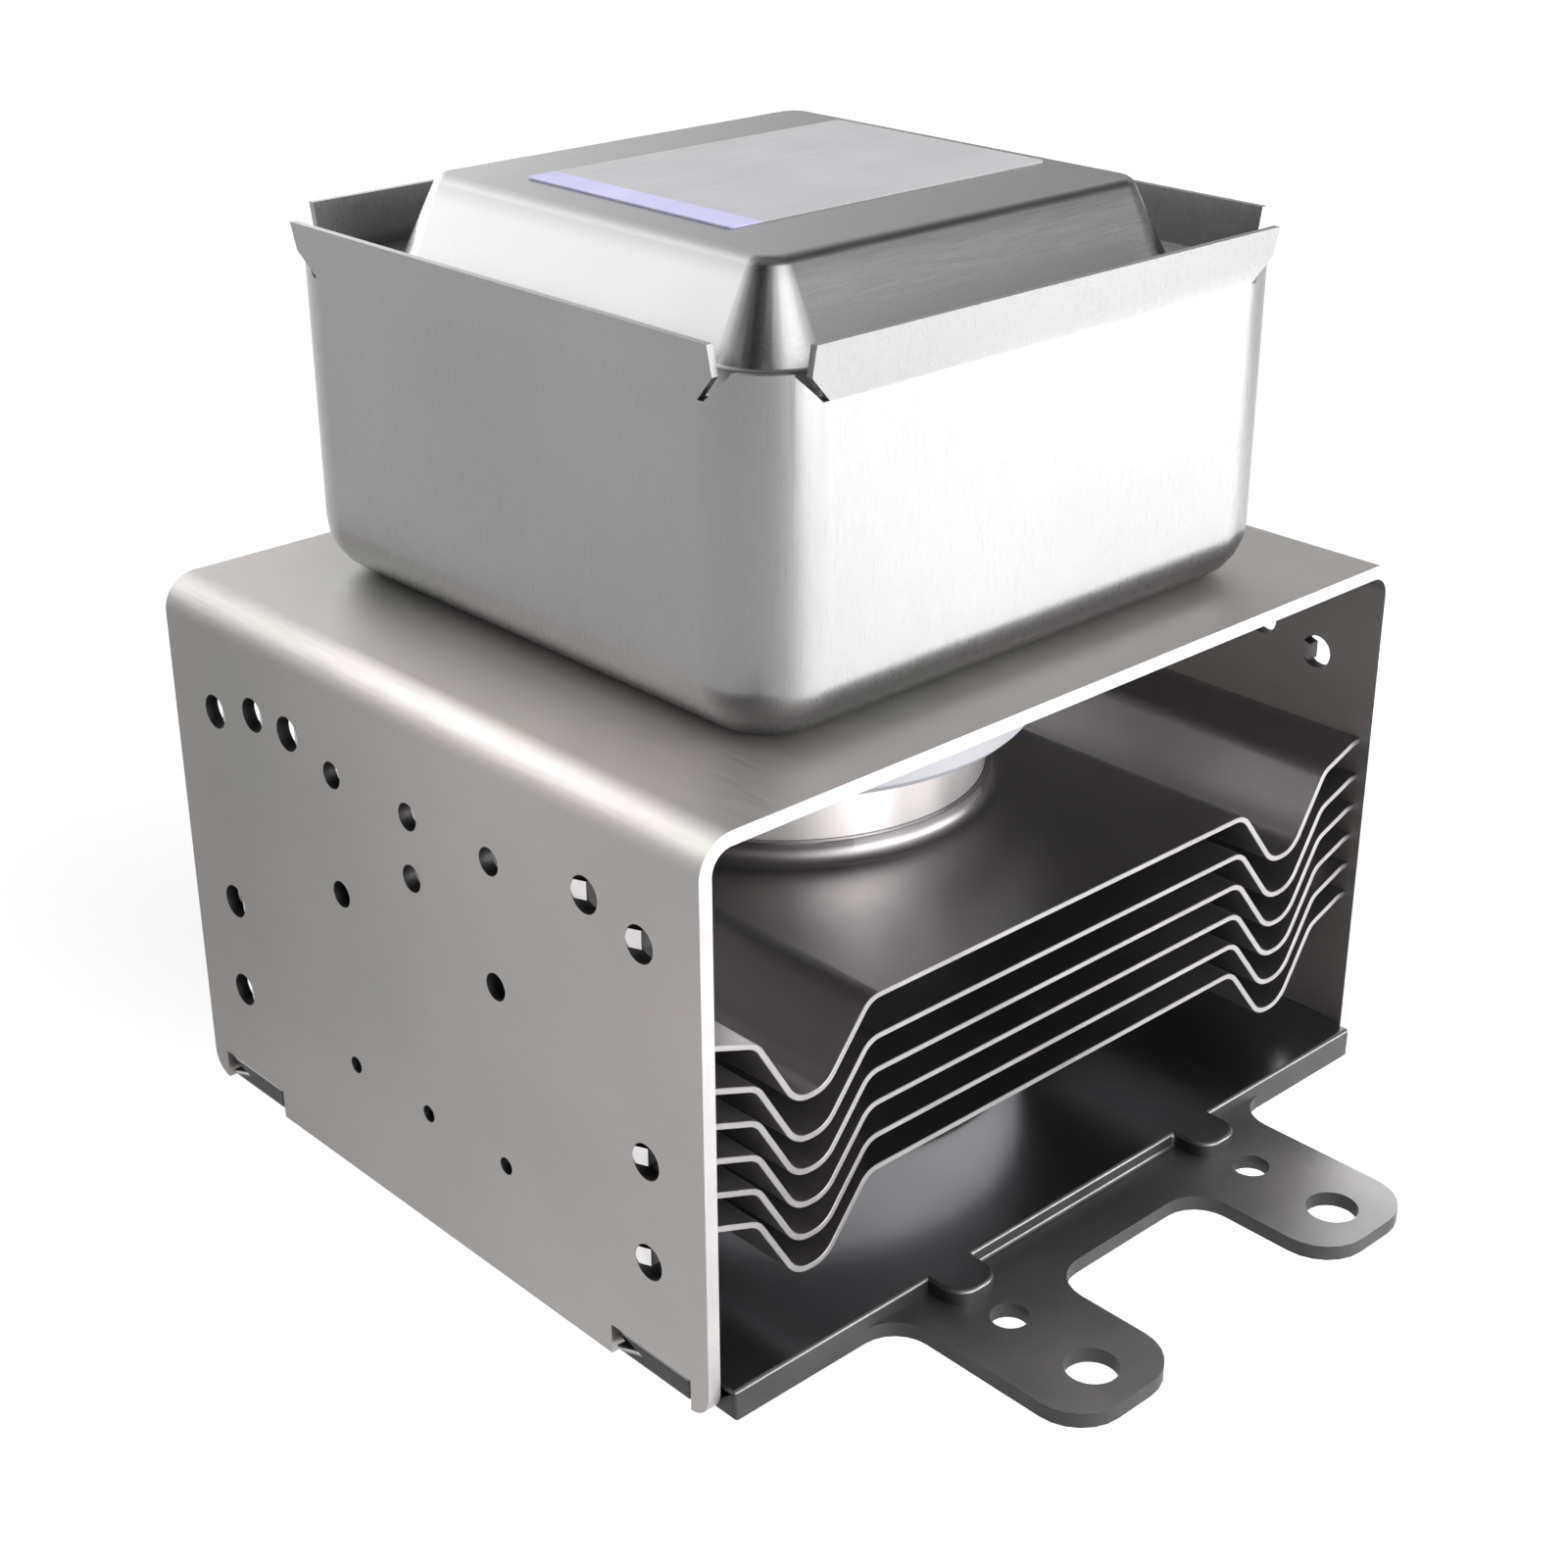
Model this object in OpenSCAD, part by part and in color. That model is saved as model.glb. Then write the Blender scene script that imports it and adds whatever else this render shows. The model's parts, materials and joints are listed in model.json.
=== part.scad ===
// Microwave-oven magnetron: a vacuum tube clamped between two ring magnets in a folded steel yoke,
// cooled by a stack of pressed fins, with a drawn filter box on top and the antenna underneath.
// Millimetres, +Z towards the filter box, origin on the tube's axis at the mounting face.

/* [Yoke frame] */
// Width across the two side walls
yoke_w = 95; // [90:0.5:105]
// Depth of the yoke from front to back
yoke_d = 82; // [78:0.5:92]
// Thickness of the yoke sheet
yoke_t = 1.4; // [1:0.1:2]
// Inside radius of the two bends
yoke_bend = 2.2; // [1:0.1:3.5]
// Radius of the lower corners of the walls
wall_corner_r = 2.5; // [0.5:0.1:4]
// Diameter of the lanced holes near the edges of the walls
lance_d = 3.6; // [2.6:0.1:4]
// Width of the tongue that each lanced hole leaves
lance_tongue_w = 1.8; // [1.2:0.1:2]
// Length of the tongue from its root
lance_tongue_len = 1.4; // [1:0.1:2.2]
// Depth to which the tongues are pushed inwards
lance_depth = 0.6; // [0.4:0.1:1.4]
// Distance of the outer lanced holes from the wall's front and back edges
lance_inset = 7.8; // [5:0.1:10]
// Spacing of the inner pair of lanced holes
lance_pair_pitch = 52; // [48:0.5:54]
// Rise of the inner pair above the upper row
lance_pair_rise = 1.9; // [0:0.1:3]
// Distance of the odd lanced hole from the back one of the inner pair
lance_odd_step = 6.2; // [5:0.1:7]
// Height of the middle lanced holes above the mounting face
lance_middle_rise = 23.8; // [23.8:0.1:24.1]
// Diameter of the small holes in the upper and middle rows
small_hole_d = 2.8; // [1.5:0.1:4]
// Diameter of the small holes in the lower row
lower_hole_d = 1.8; // [1:0.1:3]
// Spacing of the small holes from front to back
small_hole_pitch = 12.4; // [8:0.1:15]
// Drop of the upper row of holes below the yoke's top
upper_row_drop = 12.2; // [9:0.1:15]
// Drop of the middle row of holes below the yoke's top
middle_row_drop = 25; // [21:0.1:28]
// Height of the lower row of holes above the mounting face
lower_row_rise = 13.2; // [10:0.1:17]

/* [Mounting plate] */
// Thickness of the plate's sheet
plate_t = 1.6; // [1.2:0.1:2]
// Step from the flange up to the drawn panel
plate_rise = 1.6; // [1:0.1:3]
// Depth of the drawn panel from front to back
panel_d = 85; // [83:0.5:94]
// Depth across the flange strips that join the ears
flange_d = 97.4; // [95:0.2:104]
// Depth from ear tip to ear tip
ear_reach = 131; // [129:0.5:140]
// Width of one ear
ear_w = 14.5; // [12:0.1:18]
// Corner radius at the tip of an ear
ear_tip_r = 5; // [2:0.1:6]
// Fillet radius at the root of an ear
ear_root_r = 4; // [1:0.1:5]
// Spacing of the bolt holes across the width
bolt_pitch_x = 36.4; // [33:0.1:42]
// Distance of the bolt holes from the ear tips
bolt_inset = 5.2; // [4:0.1:6.5]
// Diameter of the bolt holes
bolt_hole_d = 5.2; // [4:0.1:6]
// Distance of the locating holes from the bolt holes
locate_step = 10.1; // [8.5:0.1:10.6]
// Diameter of the locating holes
locate_hole_d = 3.8; // [3:0.1:4.5]
// Width of the stiffening dart at the root of each ear
dart_w = 6; // [5:0.1:8]
// Length of the dart beyond the panel
dart_len = 4.2; // [2:0.1:5]
// Rounding of each dart's end as a share of its half width
dart_round = 0.8; // [0.5:0.05:0.9]
// Length of each tab staked into the walls
stake_tab_len = 11; // [8:0.5:13]
// Height of the tabs' lower edge above the mounting face
stake_tab_lift = 0.8; // [0:0.1:1.2]
// Depth of the stake mark at the back end of each tab
stake_mark = 3.6; // [1:0.1:4.5]
// Spacing of the staked tabs from front to back
stake_tab_pitch = 66; // [54:0.5:67]

/* [Magnets] */
// Outside diameter of the ring magnets
magnet_d = 52; // [48:0.5:56]
// Bore of the ring magnets
magnet_bore = 25; // [24.6:0.1:28]
// Thickness of each ring magnet
magnet_t = 12.5; // [11:0.1:15]
// Corner chamfer of the magnets
magnet_chamfer = 0.8; // [0.2:0.1:1.5]

/* [Anode] */
// Outside diameter of the anode shell
anode_d = 42; // [40:0.5:45]
// Wall of the anode shell
anode_wall = 3; // [2.5:0.1:4]
// Length of the anode shell
anode_len = 26.4; // [25.5:0.1:32]
// Number of vanes
vane_count = 10; // [8:2:12]
// Thickness of one vane
vane_t = 1.8; // [1.2:0.1:2]
// Height of the vanes along the axis
vane_h = 9.5; // [8:0.1:10.5]
// Bore between the vane tips
vane_bore = 9.2; // [8.6:0.1:10]
// Width of a strap ring
strap_w = 0.7; // [0.5:0.1:0.8]
// Height of a strap ring
strap_h = 0.9; // [0.5:0.1:1]
// Inside diameter of the inner strap rings
strap_d = 11; // [10.5:0.1:11.5]
// Step in diameter from the inner to the outer strap rings
strap_step = 2.8; // [2:0.1:3]

/* [Pole pieces and sleeves] */
// Sheet of the pole pieces
pole_t = 1.6; // [1.2:0.1:2]
// Depth of the pole piece's funnel below the anode's end
pole_depth = 6.2; // [4.5:0.1:6.4]
// Bore of the pole pieces
pole_bore = 9.8; // [9:0.1:10.4]
// Width of the flat ring at each pole piece's tip
pole_tip_w = 1.1; // [0.8:0.1:1.4]
// Ledge in the anode shell that seats the pole piece
pole_ledge = 1.4; // [0.8:0.1:2]
// Outside diameter of the seal sleeves
sleeve_d = 24; // [23:0.1:24.2]
// Sheet of the seal sleeves
sleeve_t = 0.8; // [0.5:0.1:1]
// Outside diameter of the sleeves' flanges
sleeve_flange_d = 41; // [36:0.5:41.5]
// Height of the input sleeve above the filter box floor
sleeve_rise = 3; // [1.5:0.1:5]

/* [Cathode] */
// Outside diameter of the filament coil
filament_d = 4; // [3.2:0.1:5]
// Diameter of the filament wire
filament_wire_d = 0.6; // [0.4:0.05:0.8]
// Turns of the filament
filament_turns = 8; // [5:1:9]
// Diameter of the end hats
hat_d = 7.2; // [6.4:0.1:8]
// Thickness of the end hats
hat_t = 1.2; // [0.8:0.1:1.6]
// Diameter of the cathode leads
lead_d = 1.6; // [1:0.1:1.8]
// Spacing of the two cathode leads at the stem and of the two terminals
lead_pitch = 10; // [9:0.1:12]
// Height of the ceramic stem
stem_h = 9; // [7:0.1:10]
// Height of the stem's wide foot
stem_foot_h = 2.5; // [1.5:0.1:4]

/* [Antenna] */
// Distance from the mounting face to the antenna's tip
antenna_len = 25; // [22:0.5:32]
// Diameter of the antenna cap
antenna_d = 15.6; // [14:0.1:18]
// Length of the antenna cap
antenna_cap_len = 13; // [10:0.5:16]
// Sheet of the antenna cap
antenna_cap_t = 0.7; // [0.4:0.1:1]
// Diameter of the antenna lead
antenna_lead_d = 2; // [1.4:0.1:2.4]
// Wall of the antenna ceramic
ceramic_wall = 2.2; // [1.5:0.1:3]
// Outside diameter of the gasket ring
gasket_d = 34; // [32:0.5:40]
// Free height of the gasket ring
gasket_h = 4; // [3:0.1:6]

/* [Cooling fins] */
// Sheet of the fins
fin_t = 0.6; // [0.4:0.05:0.8]
// Spacing of the lower five fins
fin_pitch = 3.5; // [3.3:0.05:4]
// Spacing between the top fin and the one below it
fin_top_step = 4.25; // [3.5:0.05:5]
// Height of the lowest fin above the lower magnet
fin_seat = 0.75; // [0.5:0.05:1.5]
// Distance of the fin edges inside the yoke's front and back
fin_inset = 1.2; // [0:0.1:4]
// Depth of the pressed valley at each side
fin_valley = 6.9; // [5:0.1:7.5]
// Width of the valley's floor between its corners
fin_valley_floor = 3.6; // [3:0.1:5]
// Run of the valley's inner slope
fin_inner_run = 5.4; // [4.5:0.1:6.5]
// Run of the valley's outer slope
fin_outer_run = 4.6; // [4:0.1:5.5]
// Bend radius at the valley's floor
fin_valley_r = 3; // [1:0.1:3.2]
// Bend radius at the valley's upper edges
fin_fold_r = 2.6; // [1:0.1:2.8]
// Rise of the side tabs above the fin's flat middle, at the wall
fin_tab_rise = 2.5; // [2.2:0.1:2.6]
// Climb of each side tab from its fold to the wall
fin_tab_slope = 1.8; // [0.5:0.1:2.4]
// Level lip of each side tab against the wall
fin_tab_lip = 1; // [0.8:0.1:1.6]
// Height of the collar pressed up round the anode
fin_collar_h = 2.5; // [1.5:0.1:2.6]
// Radius at the foot of the collar
fin_collar_r = 1.6; // [0.5:0.1:1.8]

/* [Filter box] */
// Width of the filter box
box_w = 70; // [66:0.5:78]
// Depth of the filter box
box_d = 70; // [66:0.5:76]
// Height of the filter box to its rim
box_h = 36; // [35:0.5:44]
// Sheet of the filter box
box_t = 0.7; // [0.5:0.05:1]
// Radius of the upright corners
box_corner_r = 8; // [6.5:0.1:10]
// Radius round the floor
box_foot_r = 6; // [3:0.1:6.2]
// Height of the flared strips along the rim
strip_h = 5.2; // [3.5:0.1:6]
// Outward flare of the strips at the rim
strip_flare = 1; // [0.3:0.1:1.6]
// Distance from the end of a strip to the box's corner
strip_end = 5.2; // [4:0.1:6.5]
// Width of the slits beside the strips
slit_w = 0.7; // [0.4:0.1:1]
// Height of the slanted tail at the foot of each slit
slit_tail = 2.4; // [1.5:0.1:3]
// Drop of the corners below the rim
corner_drop = 2.6; // [1.5:0.1:3.2]
// Spacing of the rivets in the box's floor
rivet_pitch = 46; // [45:0.5:50]
// Shank diameter of the rivets
rivet_d = 3.2; // [2.4:0.1:3.6]
// Diameter of the rivets' heads
rivet_head_d = 5.1; // [4.6:0.1:5.6]
// Height of the rivet heads
rivet_head_h = 1; // [0.6:0.1:1.4]

/* [Filter lid] */
// Sheet of the lid
lid_t = 0.7; // [0.5:0.05:1]
// Drop of the lid's trough below the rim
lid_drop = 5.6; // [5.2:0.1:6.5]
// Height of the raised middle above the trough
lid_rise = 9.4; // [7:0.1:12]
// Width of the raised middle at its top
lid_top_w = 48; // [42:0.5:50]
// Sideways run of the raised middle's slopes
lid_slope_run = 4.6; // [3:0.1:5]
// Edge radius of the raised middle
lid_edge_r = 1.4; // [0.8:0.1:2.4]
// Radius of the raised panel's corners at its top
lid_corner_r = 2.4; // [2:0.1:4]
// Height of the skirt that grips the box's walls
lid_skirt_h = 3; // [2:0.1:3.4]
// Length of the blank label
label_w = 41; // [30:0.5:42]
// Depth of the blank label
label_d = 29; // [20:0.5:34]
// Thickness of the label
label_t = 0.15; // [0.1:0.05:0.3]
// Shift of the label to the right of the lid's middle
label_shift_x = 1.5; // [-3:0.1:3]
// Shift of the label towards the back of the lid
label_shift_y = 0.8; // [-5:0.1:5]

/* [Feedthrough] */
// Height of the terminals above the filter box floor
feed_rise = 17; // [16:0.1:18]
// Width of the feedthrough's body
feed_w = 24; // [22:0.5:28]
// Height of the feedthrough's body
feed_h = 13; // [11:0.5:14]
// Corner radius of the feedthrough's body
feed_corner_r = 4.3; // [3:0.1:5]
// Length of the body's shoulder outside its plate
feed_shoulder_h = 2; // [1:0.1:3]
// Width of that shoulder
feed_shoulder_w = 1.6; // [1:0.1:1.8]
// Reach of the body inside the box
feed_inner = 9; // [6:0.5:10]
// Reach of the body outside the box
feed_outer = 8; // [6:0.5:12]
// Width of the earth plate
feed_plate_w = 38; // [36:0.5:42]
// Height of the earth plate
feed_plate_h = 18; // [17.4:0.1:18.6]
// Sheet of the earth plate
feed_plate_t = 0.8; // [0.5:0.1:1.2]
// Diameter of the earth plate's rivets
feed_rivet_d = 2.4; // [1.8:0.1:2.6]
// Diameter of these rivets' heads
feed_rivet_head_d = 4.1; // [3.6:0.1:4.2]
// Distance of these rivets from the earth plate's edges
feed_rivet_inset = 3; // [2.4:0.1:3.2]
// Width of a terminal blade
blade_w = 6.3; // [4.8:0.1:6.5]
// Thickness of a terminal blade
blade_t = 0.8; // [0.5:0.1:1]
// Reach of a blade beyond the body
blade_len = 12; // [8:0.5:16]
// Diameter of the hole in a blade
blade_hole_d = 1.8; // [1:0.1:2.4]
// Distance of that hole from the blade's end
blade_hole_inset = 3.8; // [3:0.1:5]
// Diameter of the choke wire and of the feedthrough's pins
choke_wire_d = 1.3; // [0.8:0.1:1.5]
// Mean diameter of the choke coils
choke_d = 6; // [5.5:0.1:6.5]
// Turns of each choke
choke_turns = 7; // [4:1:8]
// Length of the coiled stretch of each choke
choke_len = 13; // [12.5:0.1:15]
// Diameter of the ferrite rod inside each choke
choke_core_d = 4; // [3:0.1:4]

/* [Fits] */
// Slip clearance round pieces that pass through a hole
slip = 0.3; // [0.1:0.05:0.4]
// Clearance of pieces that are pressed or brazed into each other
press = 0.05; // [0.02:0.01:0.1]

/* [Hidden] */
$fn = 64;
cut = 1;

panel_top = plate_rise + plate_t;
low_magnet_z = panel_top;
tube_z = low_magnet_z + magnet_t;
anode_z = tube_z + sleeve_t;
anode_top = anode_z + anode_len;
up_magnet_z = anode_top + sleeve_t;
yoke_inner_top = up_magnet_z + magnet_t;
yoke_top = yoke_inner_top + yoke_t;
wall_in = yoke_w / 2 - yoke_t;
panel_w = 2 * (wall_in - slip);
ear_x = bolt_pitch_x / 2;
bolt_pitch_y = ear_reach - 2 * bolt_inset;
locate_pitch_y = bolt_pitch_y - 2 * locate_step;
anode_r = anode_d / 2;
anode_in_r = anode_r - anode_wall;
anode_mid = anode_z + anode_len / 2;
sleeve_r = sleeve_d / 2;
sleeve_hole_r = sleeve_r + slip;
vane_z = anode_mid - vane_h / 2;
vane_top = anode_mid + vane_h / 2;

box_floor = yoke_top + box_t;
box_top = yoke_top + box_h;
bend_z = box_top - strip_h;
lid_z = box_top - lid_drop;
lid_top = lid_z + lid_rise;
feed_z = box_floor + feed_rise;
stem_z = box_floor + sleeve_rise;
lead_bend_z = up_magnet_z + lead_d;
lead_straight_z = lead_bend_z + lead_pitch;
antenna_foot_z = plate_rise - gasket_h;

steel = [0.72, 0.71, 0.71];
dark_steel = [0.42, 0.42, 0.43];
tin = [0.82, 0.82, 0.83];
ferrite = [0.16, 0.16, 0.17];
aluminium = [0.80, 0.80, 0.82];
copper = [0.78, 0.48, 0.34];
ceramic = [0.93, 0.90, 0.88];
tungsten = [0.45, 0.45, 0.47];
plastic = [0.30, 0.22, 0.18];
paper = [0.80, 0.79, 0.82];

// Outline helpers

function unit(v) = v / norm(v);

// Arc of a given radius that rounds the corner p between its neighbours a and b
function corner_arc(a, p, b, r, steps = 6) =
    r == 0 ? [p] :
    let (u = unit(a - p), w = unit(b - p), half = acos(u * w) / 2, c = p + unit(u + w) * r / sin(half),
         s = p + u * r / tan(half) - c, e = p + w * r / tan(half) - c,
         from = atan2(s[1], s[0]), raw = atan2(e[1], e[0]) - from,
         turn = raw > 180 ? raw - 360 : raw < -180 ? raw + 360 : raw)
    [for (i = [0:steps]) c + r * [cos(from + turn * i / steps), sin(from + turn * i / steps)]];

// Closed outline whose corners [x, y, radius] are rounded
function rounded_outline(corners) =
    let (n = len(corners), xy = [for (c = corners) [c[0], c[1]]])
    [for (i = [0:n - 1]) each corner_arc(xy[(i + n - 1) % n], xy[i], xy[(i + 1) % n], corners[i][2])];

// Open path whose inner corners [x, y, radius] are rounded
function rounded_path(corners) =
    let (n = len(corners), xy = [for (c = corners) [c[0], c[1]]])
    [xy[0], for (i = [1:n - 2]) each corner_arc(xy[i - 1], xy[i], xy[i + 1], corners[i][2]), xy[n - 1]];

// Normal of an open path at one of its points, stretched so that a sheet along it keeps its thickness
function path_normal(path, i) =
    let (n = len(path), before = i > 0 ? unit(path[i] - path[i - 1]) : unit(path[1] - path[0]),
         after = i < n - 1 ? unit(path[i + 1] - path[i]) : before, mid = unit(before + after))
    [-mid[1], mid[0]] / (mid * before);

// Outline of a sheet of thickness t that follows an open path
function sheet_outline(path, t) =
    let (n = len(path), side = [for (i = [0:n - 1]) path_normal(path, i) * t / 2])
    concat([for (i = [0:n - 1]) path[i] + side[i]], [for (i = [n - 1:-1:0]) path[i] - side[i]]);

// Mirrors a list of [x, y, radius] corners about the Y axis, in reverse order
function mirrored_x(corners) =
    [for (i = [len(corners) - 1:-1:0]) [-corners[i][0], corners[i][1], corners[i][2]]];

// Mirrors a list of [x, y, radius] corners about the X axis, in reverse order
function mirrored_y(corners) =
    [for (i = [len(corners) - 1:-1:0]) [corners[i][0], -corners[i][1], corners[i][2]]];

// Outline with both mirror symmetries from the corners of its first quadrant
function four_way(corners) =
    let (upper = concat(corners, mirrored_x(corners)))
    concat(upper, mirrored_y(upper));

// Closed tube along points, each with the normal that its ring starts from
module swept_wire(points, normals, d, sides = 8) {
    n = len(points);
    rings = [for (i = [0:n - 1])
        let (t = unit(points[min(i + 1, n - 1)] - points[max(i - 1, 0)]))
        let (b = unit(cross(t, normals[i])), a = cross(b, t))
        each [for (k = [0:sides - 1])
            let (turn = 360 * k / sides) points[i] + d / 2 * (a * cos(turn) + b * sin(turn))]];
    walls = [for (i = [0:n - 2], k = [0:sides - 1])
        let (j = (k + 1) % sides, this = i * sides, next = this + sides)
        each [[this + k, next + k, next + j], [this + k, next + j, this + j]]];
    first = [for (k = [0:sides - 1]) k];
    last = [for (k = [sides - 1:-1:0]) (n - 1) * sides + k];
    polyhedron(rings, concat(walls, [first, last]), convexity = 10);
}

// Bent wire in the XZ plane through corners [x, z, bend radius]
module bent_wire(corners, d) {
    path = rounded_path(corners);
    swept_wire([for (p = path) [p[0], 0, p[1]]], [for (p = path) [0, 1, 0]], d, 12);
}

// Ring of rectangular section
module ring(outer_d, inner_d, h) {
    difference() {
        cylinder(d = outer_d, h = h);
        translate([0, 0, -cut]) cylinder(d = inner_d, h = h + 2 * cut);
    }
}

// Copies of a child at the four corners of a rectangle
module at_corners(pitch_x, pitch_y) {
    for (x = [-1, 1] * pitch_x / 2, y = [-1, 1] * pitch_y / 2)
        translate([x, y, 0]) children();
}

// Yoke and mounting plate

// Positions [y, z, diameter] of the round holes in each side wall
function wall_holes() =
    let (upper = yoke_top - upper_row_drop, middle = yoke_top - middle_row_drop)
    concat(
        [for (s = [-1, 0, 1]) [s * small_hole_pitch, upper, small_hole_d]],
        [for (s = [-1, 1]) [s * small_hole_pitch, middle, small_hole_d]],
        [[0, (upper + middle) / 2, small_hole_d]],
        [for (s = [-1, 0, 1]) [s * small_hole_pitch, lower_row_rise, lower_hole_d]]);

// Positions [y, z, way the tongue points] of the lanced holes in each side wall
function wall_lances() =
    let (upper = yoke_top - upper_row_drop, pair = upper + lance_pair_rise, edge = yoke_d / 2 - lance_inset)
    concat(
        [for (s = [-1, 1], z = [upper, lance_middle_rise, lower_row_rise]) [s * edge, z, s]],
        [for (s = [-1, 1]) [s * lance_pair_pitch / 2, pair, s]],
        [[lance_pair_pitch / 2 - lance_odd_step, pair, 1]]);

// Side view of the yoke with its rounded lower corners
module yoke_side_outline() {
    polygon(rounded_outline([
        [-yoke_d / 2, 0, wall_corner_r], [yoke_d / 2, 0, wall_corner_r],
        [yoke_d / 2, yoke_top, 0], [-yoke_d / 2, yoke_top, 0]]));
}

// Tongue of a lanced hole in the right wall, sloping inwards from its root to its tip
module lance_tongue(way) {
    r = lance_d / 2;
    mirror([0, way > 0 ? 0 : 1, 0]) translate([wall_in, 0, 0])
        linear_extrude(lance_tongue_w, center = true) polygon([
            [0, -r], [yoke_t, -r], [yoke_t - lance_depth, lance_tongue_len - r],
            [-lance_depth, lance_tongue_len - r]]);
}

// Side view of one notch in a wall's foot, for a tab that grows upwards from the plate's edge
module stake_notch() {
    translate([-stake_tab_len / 2 - press, -cut])
        square([stake_tab_len + 2 * press, panel_top + press + cut]);
}

// The sheet before it is pierced: a top, two walls and two quarter bends
module yoke_sheet() {
    bend_out = yoke_bend + yoke_t;
    translate([-yoke_w / 2 + bend_out, -yoke_d / 2, yoke_inner_top])
        cube([yoke_w - 2 * bend_out, yoke_d, yoke_t]);
    for (s = [0, 1]) mirror([s, 0, 0]) {
        translate([wall_in, -yoke_d / 2, 0]) cube([yoke_t, yoke_d, yoke_top - bend_out]);
        translate([yoke_w / 2 - bend_out, yoke_d / 2, yoke_top - bend_out])
            rotate([90, 0, 0])
                rotate_extrude(angle = 90) translate([yoke_bend, 0]) square([yoke_t, yoke_d]);
    }
}

module yoke_frame() {
    color(steel) difference() {
        intersection() {
            yoke_sheet();
            rotate([90, 0, 90]) linear_extrude(yoke_w + 2 * cut, center = true) yoke_side_outline();
        }
        translate([0, 0, yoke_inner_top - cut]) cylinder(r = sleeve_hole_r, h = yoke_t + 2 * cut);
        translate([0, 0, yoke_inner_top - cut])
            at_corners(rivet_pitch, rivet_pitch) cylinder(d = rivet_d + 2 * press, h = yoke_t + 2 * cut);
        for (h = wall_holes())
            translate([-yoke_w / 2 - cut, h[0], h[1]])
                rotate([0, 90, 0]) cylinder(d = h[2], h = yoke_w + 2 * cut);
        for (l = wall_lances())
            translate([-yoke_w / 2 - cut, l[0], l[1]])
                rotate([0, 90, 0]) cylinder(d = lance_d, h = yoke_w + 2 * cut);
        for (y = [-1, 1] * stake_tab_pitch / 2)
            translate([0, y, 0])
                rotate([90, 0, 90]) linear_extrude(yoke_w + 2 * cut, center = true) stake_notch();
    }
    color(steel)
        for (s = [0, 1], l = wall_lances())
            mirror([s, 0, 0]) translate([0, l[0], l[1]]) lance_tongue(l[2]);
}

// Flat outline of the plate with its four ears
function plate_corners() =
    let (out = ear_x + ear_w / 2, in = ear_x - ear_w / 2)
    four_way([
        [panel_w / 2, panel_d / 2, 0], [out, panel_d / 2, ear_root_r], [out, ear_reach / 2, ear_tip_r],
        [in, ear_reach / 2, ear_tip_r], [in, flange_d / 2, ear_root_r]]);

// Outline of the drawn panel with a dart at each ear, moved inwards by a given amount
function panel_corners(inset) =
    let (half = dart_w / 2 - inset, edge = panel_d / 2 - inset, tip = panel_d / 2 + dart_len - inset)
    four_way([
        [panel_w / 2 - inset, edge, 0], [ear_x + half, edge, 0], [ear_x + half, tip, half * dart_round],
        [ear_x - half, tip, half * dart_round], [ear_x - half, edge, 0]]);

// Pair of tabs that reach through both walls, each with the stake's mark in its back end
module stake_tabs() {
    half = stake_tab_len / 2;
    mid = (stake_tab_lift + panel_top) / 2;
    rotate([90, 0, 90]) linear_extrude(yoke_w, center = true) polygon([
        [-half, stake_tab_lift], [half, stake_tab_lift], [half - stake_mark, mid], [half, panel_top],
        [-half, panel_top]]);
}

module mounting_plate() {
    color(dark_steel) difference() {
        union() {
            linear_extrude(plate_t) polygon(rounded_outline(plate_corners()));
            linear_extrude(panel_top) polygon(rounded_outline(panel_corners(0)));
            for (y = [-1, 1] * stake_tab_pitch / 2)
                translate([0, y, 0]) stake_tabs();
        }
        translate([0, 0, -cut])
            linear_extrude(plate_rise + cut) polygon(rounded_outline(panel_corners(plate_t)));
        translate([0, 0, -cut]) cylinder(r = sleeve_hole_r, h = panel_top + 2 * cut);
        translate([0, 0, -cut])
            at_corners(bolt_pitch_x, bolt_pitch_y) cylinder(d = bolt_hole_d, h = plate_t + 2 * cut);
        translate([0, 0, -cut])
            at_corners(bolt_pitch_x, locate_pitch_y) cylinder(d = locate_hole_d, h = plate_t + 2 * cut);
    }
}

// Magnets

module ring_magnet() {
    r = magnet_d / 2;
    c = magnet_chamfer;
    rotate_extrude() polygon([
        [magnet_bore / 2, 0], [r - c, 0], [r, c], [r, magnet_t - c], [r - c, magnet_t],
        [magnet_bore / 2, magnet_t]]);
}

module upper_magnet() { color(ferrite) translate([0, 0, up_magnet_z]) ring_magnet(); }

module lower_magnet() { color(ferrite) translate([0, 0, low_magnet_z]) ring_magnet(); }

// Cooling fins

// Height of the middle of a fin's sheet, counted from the top fin
function fin_z(i) =
    let (lowest = tube_z + fin_seat, top = lowest + 4 * fin_pitch + fin_top_step)
    i == 0 ? top : lowest + (5 - i) * fin_pitch;

// Corners of the fin's sheet from its middle out to the wall
function fin_corners() =
    let (fold = magnet_d / 2 + fin_fold_r / 4, low = fold + fin_inner_run, high = low + fin_valley_floor,
         tab = high + fin_outer_run)
    [[fold, 0, fin_fold_r], [low, -fin_valley, fin_valley_r], [high, -fin_valley, fin_valley_r],
     [tab, fin_tab_rise - fin_tab_slope, fin_fold_r], [wall_in - fin_tab_lip, fin_tab_rise, fin_fold_r],
     [wall_in, fin_tab_rise, 0]];

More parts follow.
